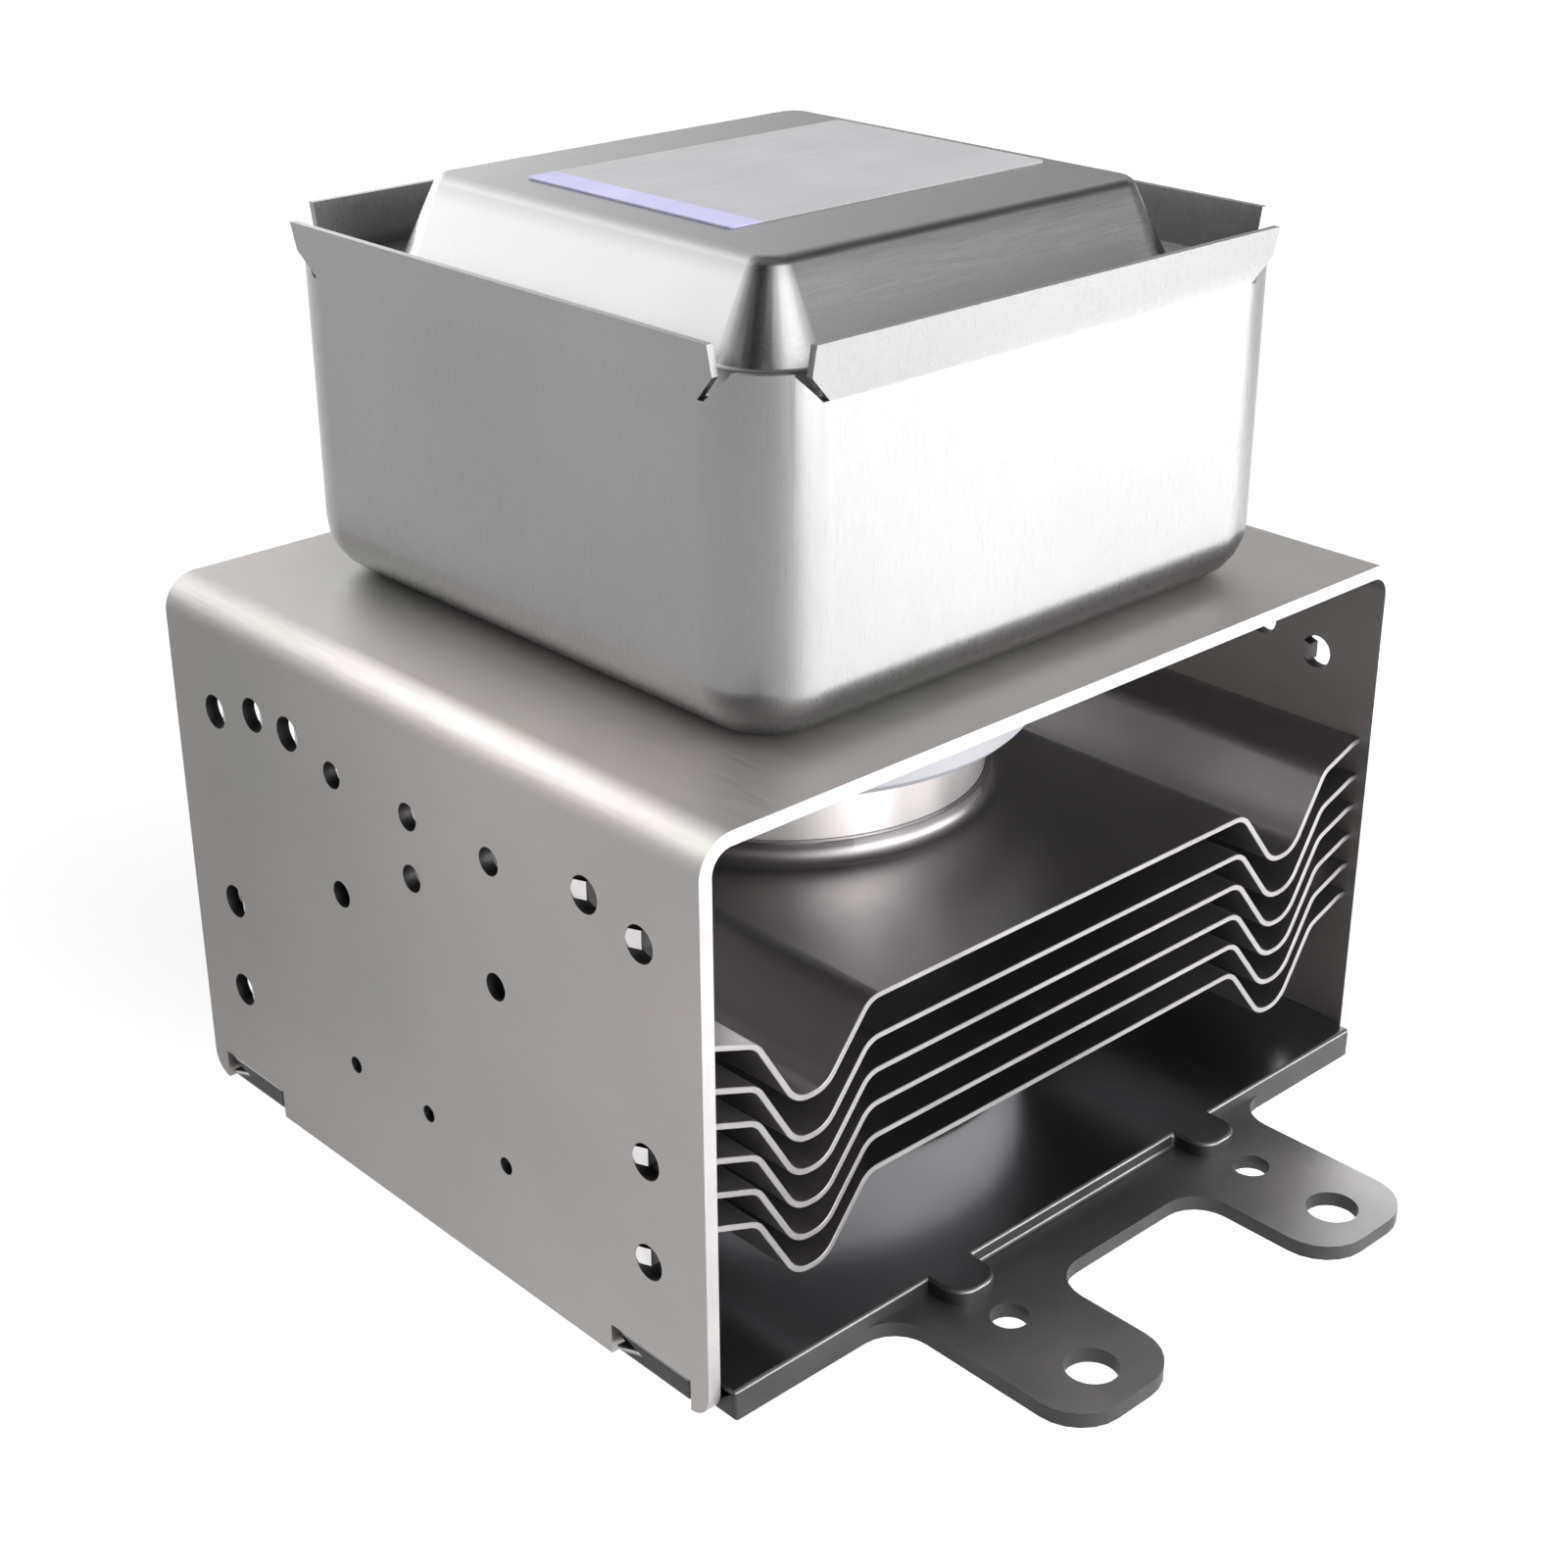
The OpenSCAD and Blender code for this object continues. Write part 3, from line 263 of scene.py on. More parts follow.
@dataclass(frozen=True)
class Finish:
    """Surface of a piece: a mottled colour, streaked or even grain, a fine relief, and painted light and
    shade.

    Attributes:
        name: name of the material.
        light: lighter of the colours that mottle the surface.
        dark: darker of these colours.
        middle: colour between them, where it is more than their mean.
        metallic: 1 for bare metal, 0 for paint, plastic, paper or ceramic.
        rough: lowest and highest roughness.
        grain: direction of the streaks.
        grain_mm: width of one streak or speck.
        patch_mm: width of one mottled patch.
        relief: strength of the fine bumps.
        streak: share of the streaks in the colour.
        painted_light: slow changes of the tone that paint light and shade.
    """

    name: str
    light: Colour
    dark: Colour
    middle: Optional[Colour] = None
    metallic: float = 1.0
    rough: tuple[float, float] = (0.3, 0.42)
    grain: Grain = Grain.EVEN
    grain_mm: float = 0.5
    patch_mm: float = 14.0
    relief: float = 0.12
    streak: float = 0.15
    painted_light: tuple[PaintedLightRamp, ...] = ()

    def material(self) -> bpy.types.Material:
        """Makes the finish's material, or finds it if it was made before.

        Returns:
            The material.
        """
        if self.name in bpy.data.materials:
            return bpy.data.materials[self.name]
        made = bpy.data.materials.new(self.name)
        made.use_nodes = True
        graph = NodeGraph(made.node_tree)
        out = graph.add("ShaderNodeOutputMaterial")
        shader = graph.add("ShaderNodeBsdfPrincipled", Metallic=self.metallic)
        graph.join(shader, "BSDF", out, "Surface")
        place = graph.add("ShaderNodeTexCoord")
        stretch = graph.add("ShaderNodeMapping", Scale=self.grain.value)
        graph.join(place, "Object", stretch, "Vector")
        grain = graph.noise(stretch.outputs["Vector"], self.grain_mm, detail=3.0, rough=0.6)
        patches = graph.noise(place.outputs["Object"], self.patch_mm, detail=4.0, rough=0.5)
        colour = self.add_painted_light(graph, place, self.mottled(graph, grain, patches))
        graph.link(colour, shader.inputs["Base Color"])
        polish = graph.add("ShaderNodeMapRange", From_Min=MOTTLE_STOPS[0], From_Max=MOTTLE_STOPS[-1],
                           To_Min=self.rough[0], To_Max=self.rough[1])
        graph.join(grain, "Fac", polish, "Value")
        graph.join(polish, "Result", shader, "Roughness")
        bumps = graph.add("ShaderNodeBump", Strength=self.relief, Distance=BUMP_MM * MM)
        graph.join(grain, "Fac", bumps, "Height")
        graph.join(bumps, "Normal", shader, "Normal")
        return made

    def mottled(self, graph: NodeGraph, grain: bpy.types.Node, patches: bpy.types.Node) -> Socket:
        """Mixes the mottled tones with the streaks.

        Args:
            graph: the material's nodes.
            grain: noise of the streaks.
            patches: noise of the mottled patches.

        Returns:
            The output with the colour.
        """
        middle = self.middle or tuple((a + b) / 2 for a, b in zip(self.light, self.dark))
        tones = graph.ramp(zip(MOTTLE_STOPS, (self.dark, middle, self.light)))
        graph.join(patches, "Fac", tones, "Fac")
        shade = tuple(STREAK_SHADE * channel for channel in self.dark)
        streaks = graph.ramp(zip(STREAK_STOPS, (shade, self.light)))
        graph.join(grain, "Fac", streaks, "Fac")
        return graph.blend(self.streak, tones, streaks)

    def add_painted_light(self, graph: NodeGraph, place: bpy.types.Node, colour: Socket) -> Socket:
        """Paints light and shade on a colour as slow changes of its tone across the piece.

        Args:
            graph: the material's nodes.
            place: node that gives the place on the piece.
            colour: output with the colour.

        Returns:
            The output with the changed colour.
        """
        axes = graph.add("ShaderNodeSeparateXYZ")
        graph.join(place, "Object", axes, "Vector")
        # Each ramp scales the colour: painted light where its gain is above 1, painted shade where it is
        # below.
        for fade in self.painted_light:
            gain = graph.add("ShaderNodeMapRange", interpolation_type="SMOOTHSTEP",
                             From_Min=fade.span_mm[0] * MM, From_Max=fade.span_mm[1] * MM,
                             To_Min=fade.gains[0], To_Max=fade.gains[1])
            graph.link(axes.outputs[fade.axis.value], gain.inputs["Value"])
            toned = graph.add("ShaderNodeVectorMath", operation="SCALE")
            graph.link(colour, toned.inputs["Vector"])
            graph.link(gain.outputs["Result"], toned.inputs["Scale"])
            colour = toned.outputs["Vector"]
        return colour

    def paint(self, obj: bpy.types.Object) -> None:
        """Gives the whole object this finish."""
        obj.data.materials.clear()
        obj.data.materials.append(self.material())


# Painted shade darkens the yoke toward the back and toward +X, and painted light brightens its top and upper
# bends.
YOKE_ZINC = Finish(
    "yoke_zinc", light=(0.352, 0.328, 0.309), dark=(0.276, 0.276, 0.259), middle=(0.318, 0.295, 0.29),
    rough=(0.50, 0.58), grain=Grain.ALONG_Y, grain_mm=0.3, patch_mm=48.0, relief=0.05,
    painted_light=(PaintedLightRamp(Axis.Y, (-30.0, 45.0), (1.0, 0.66)), PaintedLightRamp(Axis.Z, (55.4, 57.4), (1.0, 1.7)),
           PaintedLightRamp(Axis.X, (-10.0, 45.0), (1.0, 0.8))))
CUT_ZINC = Finish(
    "cut_zinc", light=(0.40, 0.38, 0.38), dark=(0.31, 0.295, 0.295), rough=(0.45, 0.6),
    grain_mm=0.25, patch_mm=6.0)
# Painted shade: the walls of the yoke's holes are nearly black.
HOLE_PAINTED_SHADE = Finish(
    "hole_painted_shade", light=(0.055, 0.052, 0.052), dark=(0.035, 0.033, 0.033), rough=(0.5, 0.62),
    grain_mm=0.2, patch_mm=3.0)
# Painted highlight: the lanced tongues are a far lighter copy of the yoke's zinc.
TONGUE_PAINTED_HIGHLIGHT = Finish(
    "tongue_painted_highlight", light=(0.72, 0.70, 0.70), dark=(0.62, 0.60, 0.60), rough=(0.4, 0.5),
    grain_mm=0.2, patch_mm=2.0)
PLATE_ZINC = Finish(
    "plate_zinc", light=(0.40, 0.395, 0.40), dark=(0.32, 0.315, 0.32), rough=(0.18, 0.25),
    grain_mm=0.2, patch_mm=16.0, relief=0.04)
# Painted shade: the plate's sheared edges are nearly black.
PLATE_EDGE_SHADE = Finish(
    "plate_edge_shade", light=(0.062, 0.06, 0.06), dark=(0.042, 0.04, 0.04), rough=(0.5, 0.62),
    grain_mm=0.25, patch_mm=6.0)
# Painted shade: the drawn edges are a darker copy of the plate's zinc, which dulls their highlight.
DRAWN_PLATE_SHADE = Finish(
    "drawn_plate_shade", light=(0.17, 0.168, 0.17), dark=(0.12, 0.118, 0.12), rough=(0.36, 0.46),
    grain_mm=0.2, patch_mm=6.0)
# The ears are a copy of the plate's zinc with painted light toward the tips of the front ears and toward +X,
# and painted shade toward their roots and on the rear ears.
EAR_ZINC = Finish(
    "ear_zinc", light=(0.44, 0.43, 0.44), dark=(0.33, 0.325, 0.33), rough=(0.34, 0.44),
    grain_mm=0.2, patch_mm=9.0, relief=0.05,
    painted_light=(PaintedLightRamp(Axis.Y, (-62.0, -42.0), (1.5, 0.75)), PaintedLightRamp(Axis.X, (0.0, 42.0), (1.0, 1.5))))
BOX_TIN = Finish(
    "box_tin", light=(0.255, 0.254, 0.254), dark=(0.227, 0.227, 0.231), rough=(0.26, 0.32),
    grain=Grain.ALONG_Z, grain_mm=0.25, patch_mm=30.0, relief=0.025)
# Painted shade darkens the lid's raised top.
LID_TIN = Finish(
    "lid_tin", light=(0.258, 0.257, 0.257), dark=(0.23, 0.23, 0.234), rough=(0.24, 0.30),
    grain=Grain.ALONG_X, grain_mm=0.25, patch_mm=26.0, relief=0.025,
    painted_light=(PaintedLightRamp(Axis.Z, (95.0, 96.8), (1.0, 0.8)),))
# Painted light brightens the fins' left valleys and their +X side, and painted shade darkens their flat
# middle and their rear half.
FIN_ALUMINIUM = Finish(
    "fin_aluminium", light=(0.265, 0.25, 0.255), dark=(0.205, 0.195, 0.197), rough=(0.34, 0.42),
    grain=Grain.ALONG_X, grain_mm=0.2, patch_mm=22.0, relief=0.03,
    painted_light=(PaintedLightRamp(Axis.X, (-34.0, -24.0), (1.6, 0.75)), PaintedLightRamp(Axis.X, (5.0, 25.0), (1.0, 1.7)),
           PaintedLightRamp(Axis.Y, (-22.0, 12.0), (1.0, 0.5))))
CUT_ALUMINIUM = Finish(
    "cut_aluminium", light=(0.27, 0.258, 0.262), dark=(0.21, 0.20, 0.204), rough=(0.4, 0.5),
    grain_mm=0.2, patch_mm=6.0)
ANODE_METAL = Finish(
    "anode_metal", light=(0.93, 0.88, 0.87), dark=(0.87, 0.81, 0.80), rough=(0.16, 0.22),
    grain_mm=0.3, patch_mm=12.0, relief=0.03)
SMALL_STEEL = Finish(
    "small_steel", light=(0.68, 0.67, 0.67), dark=(0.56, 0.55, 0.55), rough=(0.3, 0.42),
    grain_mm=0.3, patch_mm=6.0)
FERRITE = Finish(
    "ferrite", light=(0.80, 0.775, 0.765), dark=(0.72, 0.70, 0.69), metallic=0.0, rough=(0.38, 0.46),
    grain_mm=0.25, patch_mm=9.0, relief=0.08)
# Painted shade: the lower magnet's foot and chamfer are nearly black, as the shadow line where it sits on
# the plate.
FERRITE_FOOT_SHADE = Finish(
    "ferrite_foot_shade", light=(0.030, 0.028, 0.028), dark=(0.020, 0.018, 0.018), metallic=0.0, rough=(0.6, 0.7),
    grain_mm=0.25, patch_mm=4.0, relief=0.1)
COPPER = Finish(
    "copper", light=(0.80, 0.47, 0.33), dark=(0.62, 0.33, 0.22), rough=(0.28, 0.42),
    grain_mm=0.2, patch_mm=5.0)
WHITE_CERAMIC = Finish(
    "white_ceramic", light=(0.88, 0.83, 0.80), dark=(0.80, 0.74, 0.71), metallic=0.0, rough=(0.4, 0.55),
    grain_mm=0.2, patch_mm=3.0, relief=0.2)
TUNGSTEN = Finish(
    "tungsten", light=(0.42, 0.42, 0.44), dark=(0.30, 0.30, 0.32), rough=(0.4, 0.55),
    grain_mm=0.15, patch_mm=2.0)
BROWN_PLASTIC = Finish(
    "brown_plastic", light=(0.085, 0.05, 0.036), dark=(0.055, 0.032, 0.023), metallic=0.0, rough=(0.4, 0.52),
    grain_mm=0.3, patch_mm=5.0, relief=0.25)
KNITTED_MESH = Finish(
    "knitted_mesh", light=(0.70, 0.70, 0.71), dark=(0.30, 0.30, 0.31), rough=(0.35, 0.6),
    grain_mm=0.6, patch_mm=1.2, relief=1.0)
LABEL_FIELD = Finish(
    "label_field", light=(0.36, 0.35, 0.365), dark=(0.31, 0.305, 0.32), metallic=0.0, rough=(0.35, 0.5),
    grain=Grain.ALONG_X, grain_mm=0.6, patch_mm=8.0, relief=0.05)
LABEL_STRIP = Finish(
    "label_strip", light=(0.45, 0.44, 0.66), dark=(0.36, 0.35, 0.58), metallic=0.0, rough=(0.35, 0.5),
    grain_mm=0.4, patch_mm=5.0, relief=0.05)


def select_only(obj: bpy.types.Object) -> None:
    """Deselects everything and makes one object selected and active.

    Args:
        obj: the object.
    """
    if bpy.context.object and bpy.context.object.mode != "OBJECT":
        bpy.ops.object.mode_set(mode="OBJECT")
    bpy.ops.object.select_all(action="DESELECT")
    obj.select_set(True)
    bpy.context.view_layer.objects.active = obj


def apply_modifier(obj: bpy.types.Object, kind: str, **settings: object) -> None:
    """Adds a modifier to an object and applies it.

    Args:
        obj: the object to change.
        kind: Blender's name of the modifier type.
        settings: properties of the modifier.
    """
    select_only(obj)
    modifier = obj.modifiers.new(kind.lower(), kind)
    for key, value in settings.items():
        setattr(modifier, key, value)
    bpy.ops.object.modifier_apply(modifier=modifier.name)


def smooth(obj: bpy.types.Object) -> None:
    """Shades an object smooth, except across its sharper edges."""
    select_only(obj)
    bpy.ops.object.shade_smooth_by_angle(angle=SMOOTH_ANGLE)


class SheetFace(Enum):
    """Kinds of face of a pressed sheet, by their finish's index."""

    SHEET = 0
    CUT = 1


@dataclass
class Remade:
    """A piece remade from one solid of the frame, with its sharp edges broken.

    Attributes:
        frame: the loaded frame.
        node: name of the solid that the piece stands for.
        slot: its material slot in the record.
        finishes: its surfaces, in the order of its kinds of face.
        edge_mm: width of the broken edges.
        segments: number of faces across a broken edge.
        low: lowest corner of the solid's box.
        high: highest corner of the solid's box.
    """

    frame: dict
    node: str
    slot: str
    finishes: tuple[Finish, ...]
    edge_mm: float
    segments: int = 2
    low: Vector = field(init=False)
    high: Vector = field(init=False)

    def __post_init__(self) -> None:
        """Finds the solid's box."""
        self.low, self.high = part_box(self.node)

    def build(self) -> bpy.types.Object:
        """Copies the solid's mesh, joins its loose triangles and breaks its edges.

        Returns:
            The new piece, riding on the body and standing for its solid.
        """
        source = self.frame["nodes"][self.node]
        piece = bpy.data.objects.new(self.node + "_sheet", source.data.copy())
        bpy.context.scene.collection.objects.link(piece)
        select_only(piece)
        bpy.ops.object.mode_set(mode="EDIT")
        bpy.ops.mesh.select_all(action="SELECT")
        bpy.ops.mesh.remove_doubles(threshold=WELD_MM * MM)
        bpy.ops.mesh.dissolve_limited(angle_limit=FLAT_ANGLE)
        bpy.ops.object.mode_set(mode="OBJECT")
        self.shape(piece)
        apply_modifier(piece, "BEVEL", width=self.edge_mm * MM, segments=self.segments,
                       limit_method="ANGLE", angle_limit=SHARP_ANGLE, use_clamp_overlap=True)
        smooth(piece)
        apply_modifier(piece, "WEIGHTED_NORMAL", keep_sharp=True, weight=100)
        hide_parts(self.node)
        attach(piece, BODY)
        self.dress(piece)
        LOG.info("%s: %d faces", piece.name, len(piece.data.polygons))
        return piece

    def shape(self, piece: bpy.types.Object) -> None:
        """Changes the joined mesh before its edges are broken; the plain piece needs nothing."""

    def dress(self, piece: bpy.types.Object) -> None:
        """Gives the piece its main finish, and each other kind of face its own.

        Args:
            piece: the piece with its edges broken.
        """
        main_finish, *others = self.finishes
        main_finish.paint(piece)
        if not others:
            return
        for finish in others:
            piece.data.materials.append(finish.material())
        for face in piece.data.polygons:
            face.material_index = self.kind(face).value

    def kind(self, face: bpy.types.MeshPolygon) -> Enum:
        """Tells the sheared edges of the sheet, which face front and back, from the sheet."""
        return SheetFace.CUT if abs(face.normal.y) > SQUARE_ON else SheetFace.SHEET


class MagnetFace(Enum):
    """Kinds of face of a ring magnet, by their finish's index."""

    RING = 0
    FOOT = 1


@dataclass
class RingMagnet(Remade):
    """A ring magnet with painted shade, nearly black, round the foot where it is set on the plate."""

    def kind(self, face: bpy.types.MeshPolygon) -> MagnetFace:
        """Tells the magnet's foot and the chamfer round it, which get the painted shade, from the ring."""
        return MagnetFace.FOOT if face.normal.z < -UPRIGHT else MagnetFace.RING


class YokeFace(Enum):
    """Kinds of face of the yoke frame, by their finish's index."""

    SHEET = 0
    CUT = 1
    HOLE = 2
    TONGUE = 3


@dataclass
class YokeFrame(Remade):
    """The folded yoke, with sheared edges at its openings, painted shade on the walls of its holes and a
    painted highlight on its tongues.

    Attributes:
        sheet_mm: depth of the sheet's faces, just over its thickness.
        tongue_mm: least that a tongue lies inside the wall.
        bend_mm: height of the strip at the top that holds the bends.
        foot_mm: height of the strip at the bottom that holds the feet.
    """

    sheet_mm: float = 1.6
    tongue_mm: float = 0.12
    bend_mm: float = 4.0
    foot_mm: float = 6.0

    def kind(self, face: bpy.types.MeshPolygon) -> YokeFace:
        """Sorts a face of the yoke by its place and normal.

        Args:
            face: the face.

        Returns:
            The kind of face.
        """
        at, normal = face.center, face.normal
        outward = math.copysign(1.0, at.x) * normal.x
        depth = min(at.x - self.low.x, self.high.x - at.x) / MM
        inset = min(at.y - self.low.y, self.high.y - at.y) / MM
        if inset < self.sheet_mm:
            return YokeFace.CUT if abs(normal.y) > SQUARE_ON else YokeFace.SHEET
        on_wall = self.low.z + self.foot_mm * MM < at.z < self.high.z - self.bend_mm * MM
        if depth > self.sheet_mm or not on_wall:
            return YokeFace.SHEET
        # Walls of holes get the painted shade and tongues the painted highlight.
        if abs(outward) < SLANTED:
            return YokeFace.HOLE
        return YokeFace.TONGUE if outward > 0 and depth > self.tongue_mm else YokeFace.SHEET


class PlateFace(Enum):
    """Kinds of face of the mounting plate, by their finish's index."""

    PANEL = 0
    CUT = 1
    DRAWN = 2
    EAR = 3


@dataclass
class MountingPlate(Remade):
    """The mounting plate, whose drawn panel and darts have rounder edges than its sheared outline.

    Attributes:
        draw_mm: radius of the drawn edges.
        draw_segments: number of faces across a drawn edge.
    """

    draw_mm: float = 0.7
    draw_segments: int = 4

    def shape(self, piece: bpy.types.Object) -> None:
        """Rounds the sharp edges round the top of the panel and its darts.

        Args:
            piece: the joined mesh.
        """
        select_only(piece)
        bpy.ops.object.mode_set(mode="EDIT")
        bpy.ops.mesh.select_mode(type="EDGE")
        bpy.ops.mesh.select_all(action="DESELECT")
        bpy.ops.mesh.edges_select_sharp(sharpness=SHARP_ANGLE)
        bpy.ops.object.mode_set(mode="OBJECT")
        points = piece.data.vertices
        lowest = self.high.z - SAME_HEIGHT_MM * MM
        for edge in piece.data.edges:
            edge.select = edge.select and all(points[i].co.z > lowest for i in edge.vertices)
        bpy.ops.object.mode_set(mode="EDIT")
        bpy.ops.mesh.bevel(offset=self.draw_mm * MM, segments=self.draw_segments, clamp_overlap=True)
        bpy.ops.object.mode_set(mode="OBJECT")

    def kind(self, face: bpy.types.MeshPolygon) -> PlateFace:
        """Sorts a face of the plate by its height and normal.

        Args:
            face: the face.

        Returns:
            The kind of face.
        """
        # Sheared faces get painted shade, and drawn faces a darker copy of the zinc as painted shade.
        if abs(face.normal.z) < UPRIGHT:
            return PlateFace.CUT
        if abs(face.normal.z) < LEVEL:
            return PlateFace.DRAWN
        return PlateFace.PANEL if face.center.z > self.high.z - self.draw_mm * MM else PlateFace.EAR


@dataclass
class PlainNodes:
    """Solids that keep their own mesh and only get a finish.

    Attributes:
        frame: the loaded frame.
        nodes: names of the solids of each finish.
    """

    frame: dict
    nodes: dict[Finish, tuple[str, ...]]

    def dress(self) -> None:
        """Paints each solid that is left as it is."""
        for finish, names in self.nodes.items():
            for name in names:
                finish.paint(self.frame["nodes"][name])
                LOG.info("%s: %s", name, finish.name)


@dataclass
class Label:
    """Blank label on the lid: a pale field with a coloured strip along its left edge.

    Attributes:
        node: name of the label's solid.
        strip_mm: width of the coloured strip.
        corner_mm: radius of the label's corners.
        corner_segments: number of faces round a corner.
    """

    node: str = "lid_label"
    strip_mm: float = 3.6
    corner_mm: float = 0.8
    corner_segments: int = 4

    def build(self) -> bpy.types.Object:
        """Models the label as a thin plate with round corners, cut along the edge of its strip.

        Returns:
            The finished label.
        """
        low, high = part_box(self.node)
        strip_end = low.x + self.strip_mm * MM
        bpy.ops.object.select_all(action="DESELECT")
        bpy.ops.mesh.primitive_cube_add(size=1.0, location=(low + high) / 2)
        label = bpy.context.object
        label.name = "lid_label_sheet"
        label.scale = high - low
        bpy.ops.object.transform_apply(location=True, rotation=True, scale=True)
        bpy.ops.object.mode_set(mode="EDIT")
        bpy.ops.mesh.select_mode(type="EDGE")
        bpy.ops.mesh.select_all(action="DESELECT")
        bpy.ops.object.mode_set(mode="OBJECT")
        points = label.data.vertices
        for edge in label.data.edges:
            a, b = (points[i].co for i in edge.vertices)
            edge.select = abs(a.z - b.z) > (high.z - low.z) / 2
        bpy.ops.object.mode_set(mode="EDIT")
        bpy.ops.mesh.bevel(offset=self.corner_mm * MM, segments=self.corner_segments)
        bpy.ops.mesh.select_all(action="SELECT")
        bpy.ops.mesh.bisect(plane_co=(strip_end, 0, 0), plane_no=(1, 0, 0))
        bpy.ops.object.mode_set(mode="OBJECT")
        self.dress(label, strip_end)
        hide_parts(self.node)
        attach(label, BODY)
        LOG.info("%s: %d faces", label.name, len(label.data.polygons))
        return label

    def dress(self, label: bpy.types.Object, strip_end: float) -> None:
        """Paints the field, and the strip on the faces that end where it ends.

        Args:
            label: the label's mesh.
            strip_end: place of the strip's edge along X.
        """
        LABEL_FIELD.paint(label)
        label.data.materials.append(LABEL_STRIP.material())
        for face in label.data.polygons:
            face.material_index = int(face.center.x < strip_end)


@dataclass(frozen=True)
class SkyLobe:
    """Soft patch of light on the sky.

    Attributes:
        toward: direction of its middle.
        strength: brightness of its middle.
        sharpness: power of the cosine with which it falls off.
    """

    toward: tuple[float, float, float]
    strength: float
    sharpness: float


@dataclass(frozen=True)
class Softbox:
    """Square lamp of the studio.

    Attributes:
        name: name of the light.
        at: its place in metres.
        aim: the point that it faces.
        size: its side in metres.
        power: its power in watts.
        spread: angle of its beam in degrees.
        mirrored: whether bright metal shows it.
    """

    name: str
    at: tuple[float, float, float]
    aim: tuple[float, float, float]
    size: float
    power: float
    spread: float
    mirrored: bool = True

    def build(self) -> None:
        """Adds the lamp."""
        bpy.ops.object.light_add(type="AREA", location=self.at)
        lamp = bpy.context.object
        lamp.name = self.name
        lamp.data.shape = "SQUARE"
        lamp.data.size = self.size
        lamp.data.energy = self.power
        lamp.data.spread = math.radians(self.spread)
        lamp.visible_camera = False
        lamp.visible_glossy = self.mirrored
        lamp.rotation_euler = (Vector(self.at) - Vector(self.aim)).to_track_quat("Z", "Y").to_euler()


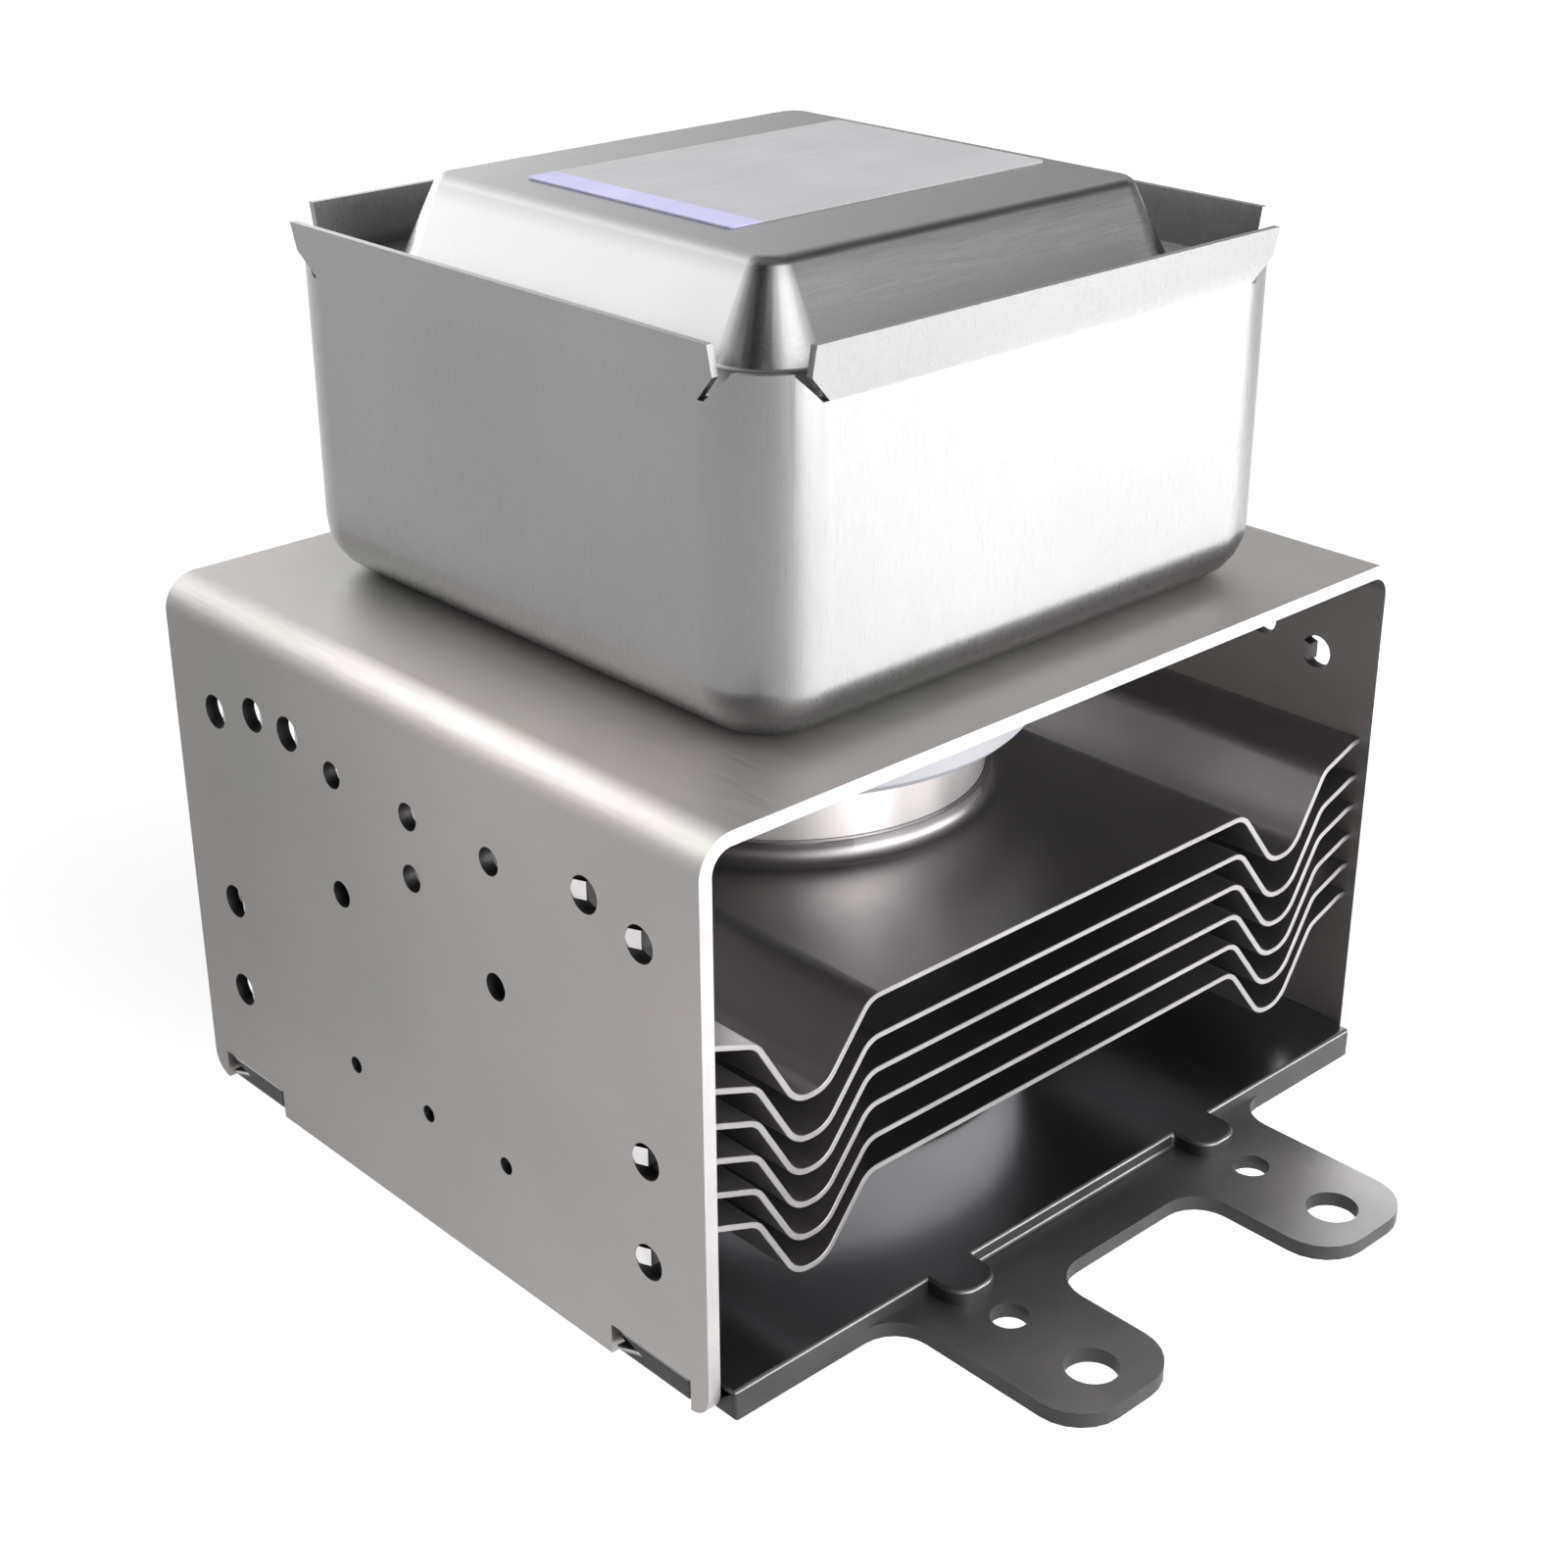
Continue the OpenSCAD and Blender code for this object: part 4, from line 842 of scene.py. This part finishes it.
@dataclass
class Studio:
    """Floor, lights and camera.

    Attributes:
        lowest: height of the antenna's tip, in metres.
        floor_gap_mm: room between the antenna's tip and the floor.
        floor_side: side of the floor in metres.
        floor_tone: its grey.
        floor_rough: its roughness.
        camera_at_mm: place of the camera.
        azimuth: direction of the camera round the object, in degrees.
        elevation: height of the camera above the horizon, in degrees.
        roll: turn of the camera about its axis, in degrees.
        lens_mm: focal length of the camera.
        sensor_mm: width of its sensor.
        nearest: distance from which it sees, in metres.
        lobes: the sky's patches of light.
        lamps: the softboxes.
    """

    lowest: float
    floor_gap_mm: float = 0.4
    floor_side: float = 8.0
    floor_tone: float = 0.88
    floor_rough: float = 0.9
    camera_at_mm: tuple[float, float, float] = (-164.1, -176.8, 147.4)
    azimuth: float = -42.84
    elevation: float = 25.30
    roll: float = -0.19
    lens_mm: float = 57.98
    sensor_mm: float = 36.0
    nearest: float = 0.01
    lobes: tuple[SkyLobe, ...] = (
        SkyLobe((-0.55, 0.70, 0.45), strength=2.58, sharpness=8.0),
        SkyLobe((0.0, 1.0, 0.2), strength=6.8, sharpness=8.0),
        SkyLobe((0.0, -1.0, 0.25), strength=7.3, sharpness=8.0),
        SkyLobe((0.72, 0.43, 0.54), strength=0.98, sharpness=16.0),
        SkyLobe((0.62, -0.74, 0.26), strength=0.6, sharpness=12.0),
        SkyLobe((0.0, 0.0, 1.0), strength=0.55, sharpness=6.0),
        SkyLobe((1.0, -0.1, 0.1), strength=0.4, sharpness=5.0))
    lamps: tuple[Softbox, ...] = (
        Softbox("floor_wash", at=(0.24, -0.30, 0.50), aim=(0.24, -0.30, 0.0),
                size=0.25, power=0.95, spread=60.0, mirrored=False),
        Softbox("near_wash", at=(0.10, -0.15, 0.50), aim=(0.10, -0.15, 0.0),
                size=0.15, power=0.245, spread=45.0, mirrored=False),
        Softbox("right_fill", at=(0.42, -0.46, 0.05), aim=(0.0, -0.02, 0.03),
                size=0.24, power=1.22, spread=120.0),
        Softbox("front_fill", at=(0.05, -0.50, 0.05), aim=(0.0, -0.02, 0.03),
                size=0.24, power=0.58, spread=120.0),
        Softbox("low_fill", at=(0.0, -0.25, 0.0), aim=(0.0, -0.026, 0.01),
                size=0.1, power=0.38, spread=60.0, mirrored=False))

    def build(self) -> None:
        """Sets up the whole studio."""
        self.floor()
        self.sky()
        for lamp in self.lamps:
            lamp.build()
        self.camera()

    def floor(self) -> None:
        """Adds the pale floor."""
        bpy.ops.object.select_all(action="DESELECT")
        height = self.lowest - self.floor_gap_mm * MM
        bpy.ops.mesh.primitive_plane_add(size=self.floor_side, location=(0, 0, height))
        floor = bpy.context.object
        floor.name = "studio_floor"
        made = bpy.data.materials.new("studio_floor")
        made.use_nodes = True
        shader = made.node_tree.nodes["Principled BSDF"]
        shader.inputs["Base Color"].default_value = (self.floor_tone,) * 3 + (1.0,)
        shader.inputs["Roughness"].default_value = self.floor_rough
        floor.data.materials.append(made)
        floor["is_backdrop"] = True

    def sky(self) -> None:
        """Lights the scene from the sky as the sum of its lobes."""
        world = bpy.data.worlds.new("studio_world")
        bpy.context.scene.world = world
        world.use_nodes = True
        graph = NodeGraph(world.node_tree)
        out = graph.add("ShaderNodeOutputWorld")
        light = graph.add("ShaderNodeBackground", Color=(1.0, 1.0, 1.0, 1.0))
        graph.join(light, "Background", out, "Surface")
        place = graph.add("ShaderNodeTexCoord")
        total = None
        for lobe in self.lobes:
            turn = graph.add("ShaderNodeVectorMath", operation="DOT_PRODUCT")
            turn.inputs[1].default_value = Vector(lobe.toward).normalized()
            graph.join(place, "Generated", turn, "Vector")
            facing = graph.math("MAXIMUM", turn.outputs["Value"], 0.0)
            glow = graph.math("MULTIPLY", graph.math("POWER", facing, lobe.sharpness), lobe.strength)
            total = glow if total is None else graph.math("ADD", total, glow)
        graph.link(total, light.inputs["Strength"])

    def camera(self) -> None:
        """Adds the camera at the photograph's viewing angle."""
        turn, tilt, roll = (math.radians(angle) for angle in (self.azimuth, self.elevation, self.roll))
        back = Vector((math.sin(turn) * math.cos(tilt), -math.cos(turn) * math.cos(tilt), math.sin(tilt)))
        level = Vector((math.cos(turn), math.sin(turn), 0.0))
        upright = back.cross(level)
        right = level * math.cos(roll) + upright * math.sin(roll)
        up = upright * math.cos(roll) - level * math.sin(roll)
        bpy.ops.object.camera_add()
        camera = bpy.context.object
        camera.name = "studio_camera"
        camera.data.lens = self.lens_mm
        camera.data.sensor_width = self.sensor_mm
        camera.data.clip_start = self.nearest
        aim = Matrix((right, up, back)).transposed().to_4x4()
        camera.matrix_world = Matrix.Translation(Vector(self.camera_at_mm) * MM) @ aim
        bpy.context.scene.camera = camera


def main() -> None:
    """Builds every piece of the magnetron, dresses it and sets up the studio."""
    logging.basicConfig(level=logging.INFO, format="%(name)s %(message)s")
    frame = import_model()
    cad_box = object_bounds()
    bpy.context.scene.view_settings.view_transform = "Standard"
    YokeFrame(frame, "yoke_frame", "zinc_steel", (YOKE_ZINC, CUT_ZINC, HOLE_PAINTED_SHADE, TONGUE_PAINTED_HIGHLIGHT),
              edge_mm=0.25).build()
    MountingPlate(frame, "mounting_plate", "plate_steel", (PLATE_ZINC, PLATE_EDGE_SHADE, DRAWN_PLATE_SHADE, EAR_ZINC),
                  edge_mm=0.3, segments=3).build()
    RingMagnet(frame, "lower_magnet", "ferrite", (FERRITE, FERRITE_FOOT_SHADE), edge_mm=0.1).build()
    Remade(frame, "filter_box", "tinned_steel", (BOX_TIN,), edge_mm=0.1).build()
    Remade(frame, "filter_lid", "tinned_steel", (LID_TIN,), edge_mm=0.3, segments=3).build()
    for number in range(1, FIN_COUNT + 1):
        Remade(frame, f"cooling_fin_{number}", "aluminium", (FIN_ALUMINIUM, CUT_ALUMINIUM),
               edge_mm=0.06, segments=1).build()
    Label().build()
    PlainNodes(frame, {
        FERRITE: ("upper_magnet", "choke_core_a", "choke_core_b"),
        ANODE_METAL: ("anode_shell",),
        COPPER: ("anode_vanes", "strap_rings", "antenna_lead", "exhaust_tube", "choke_coil_a",
                 "choke_coil_b"),
        SMALL_STEEL: ("upper_pole_piece", "lower_pole_piece", "input_sleeve", "output_sleeve", "antenna_cap",
                      "box_rivets", "feedthrough_plate", "feedthrough_rivets", "terminal_blade_a",
                      "terminal_blade_b"),
        WHITE_CERAMIC: ("stem_ceramic", "antenna_ceramic"),
        TUNGSTEN: ("cathode_filament", "upper_end_hat", "lower_end_hat", "centre_lead", "side_lead"),
        KNITTED_MESH: ("rf_gasket",),
        BROWN_PLASTIC: ("feedthrough_body",),
    }).dress()
    Studio(lowest=cad_box[0].z).build()


if __name__ == "__main__":
    main()
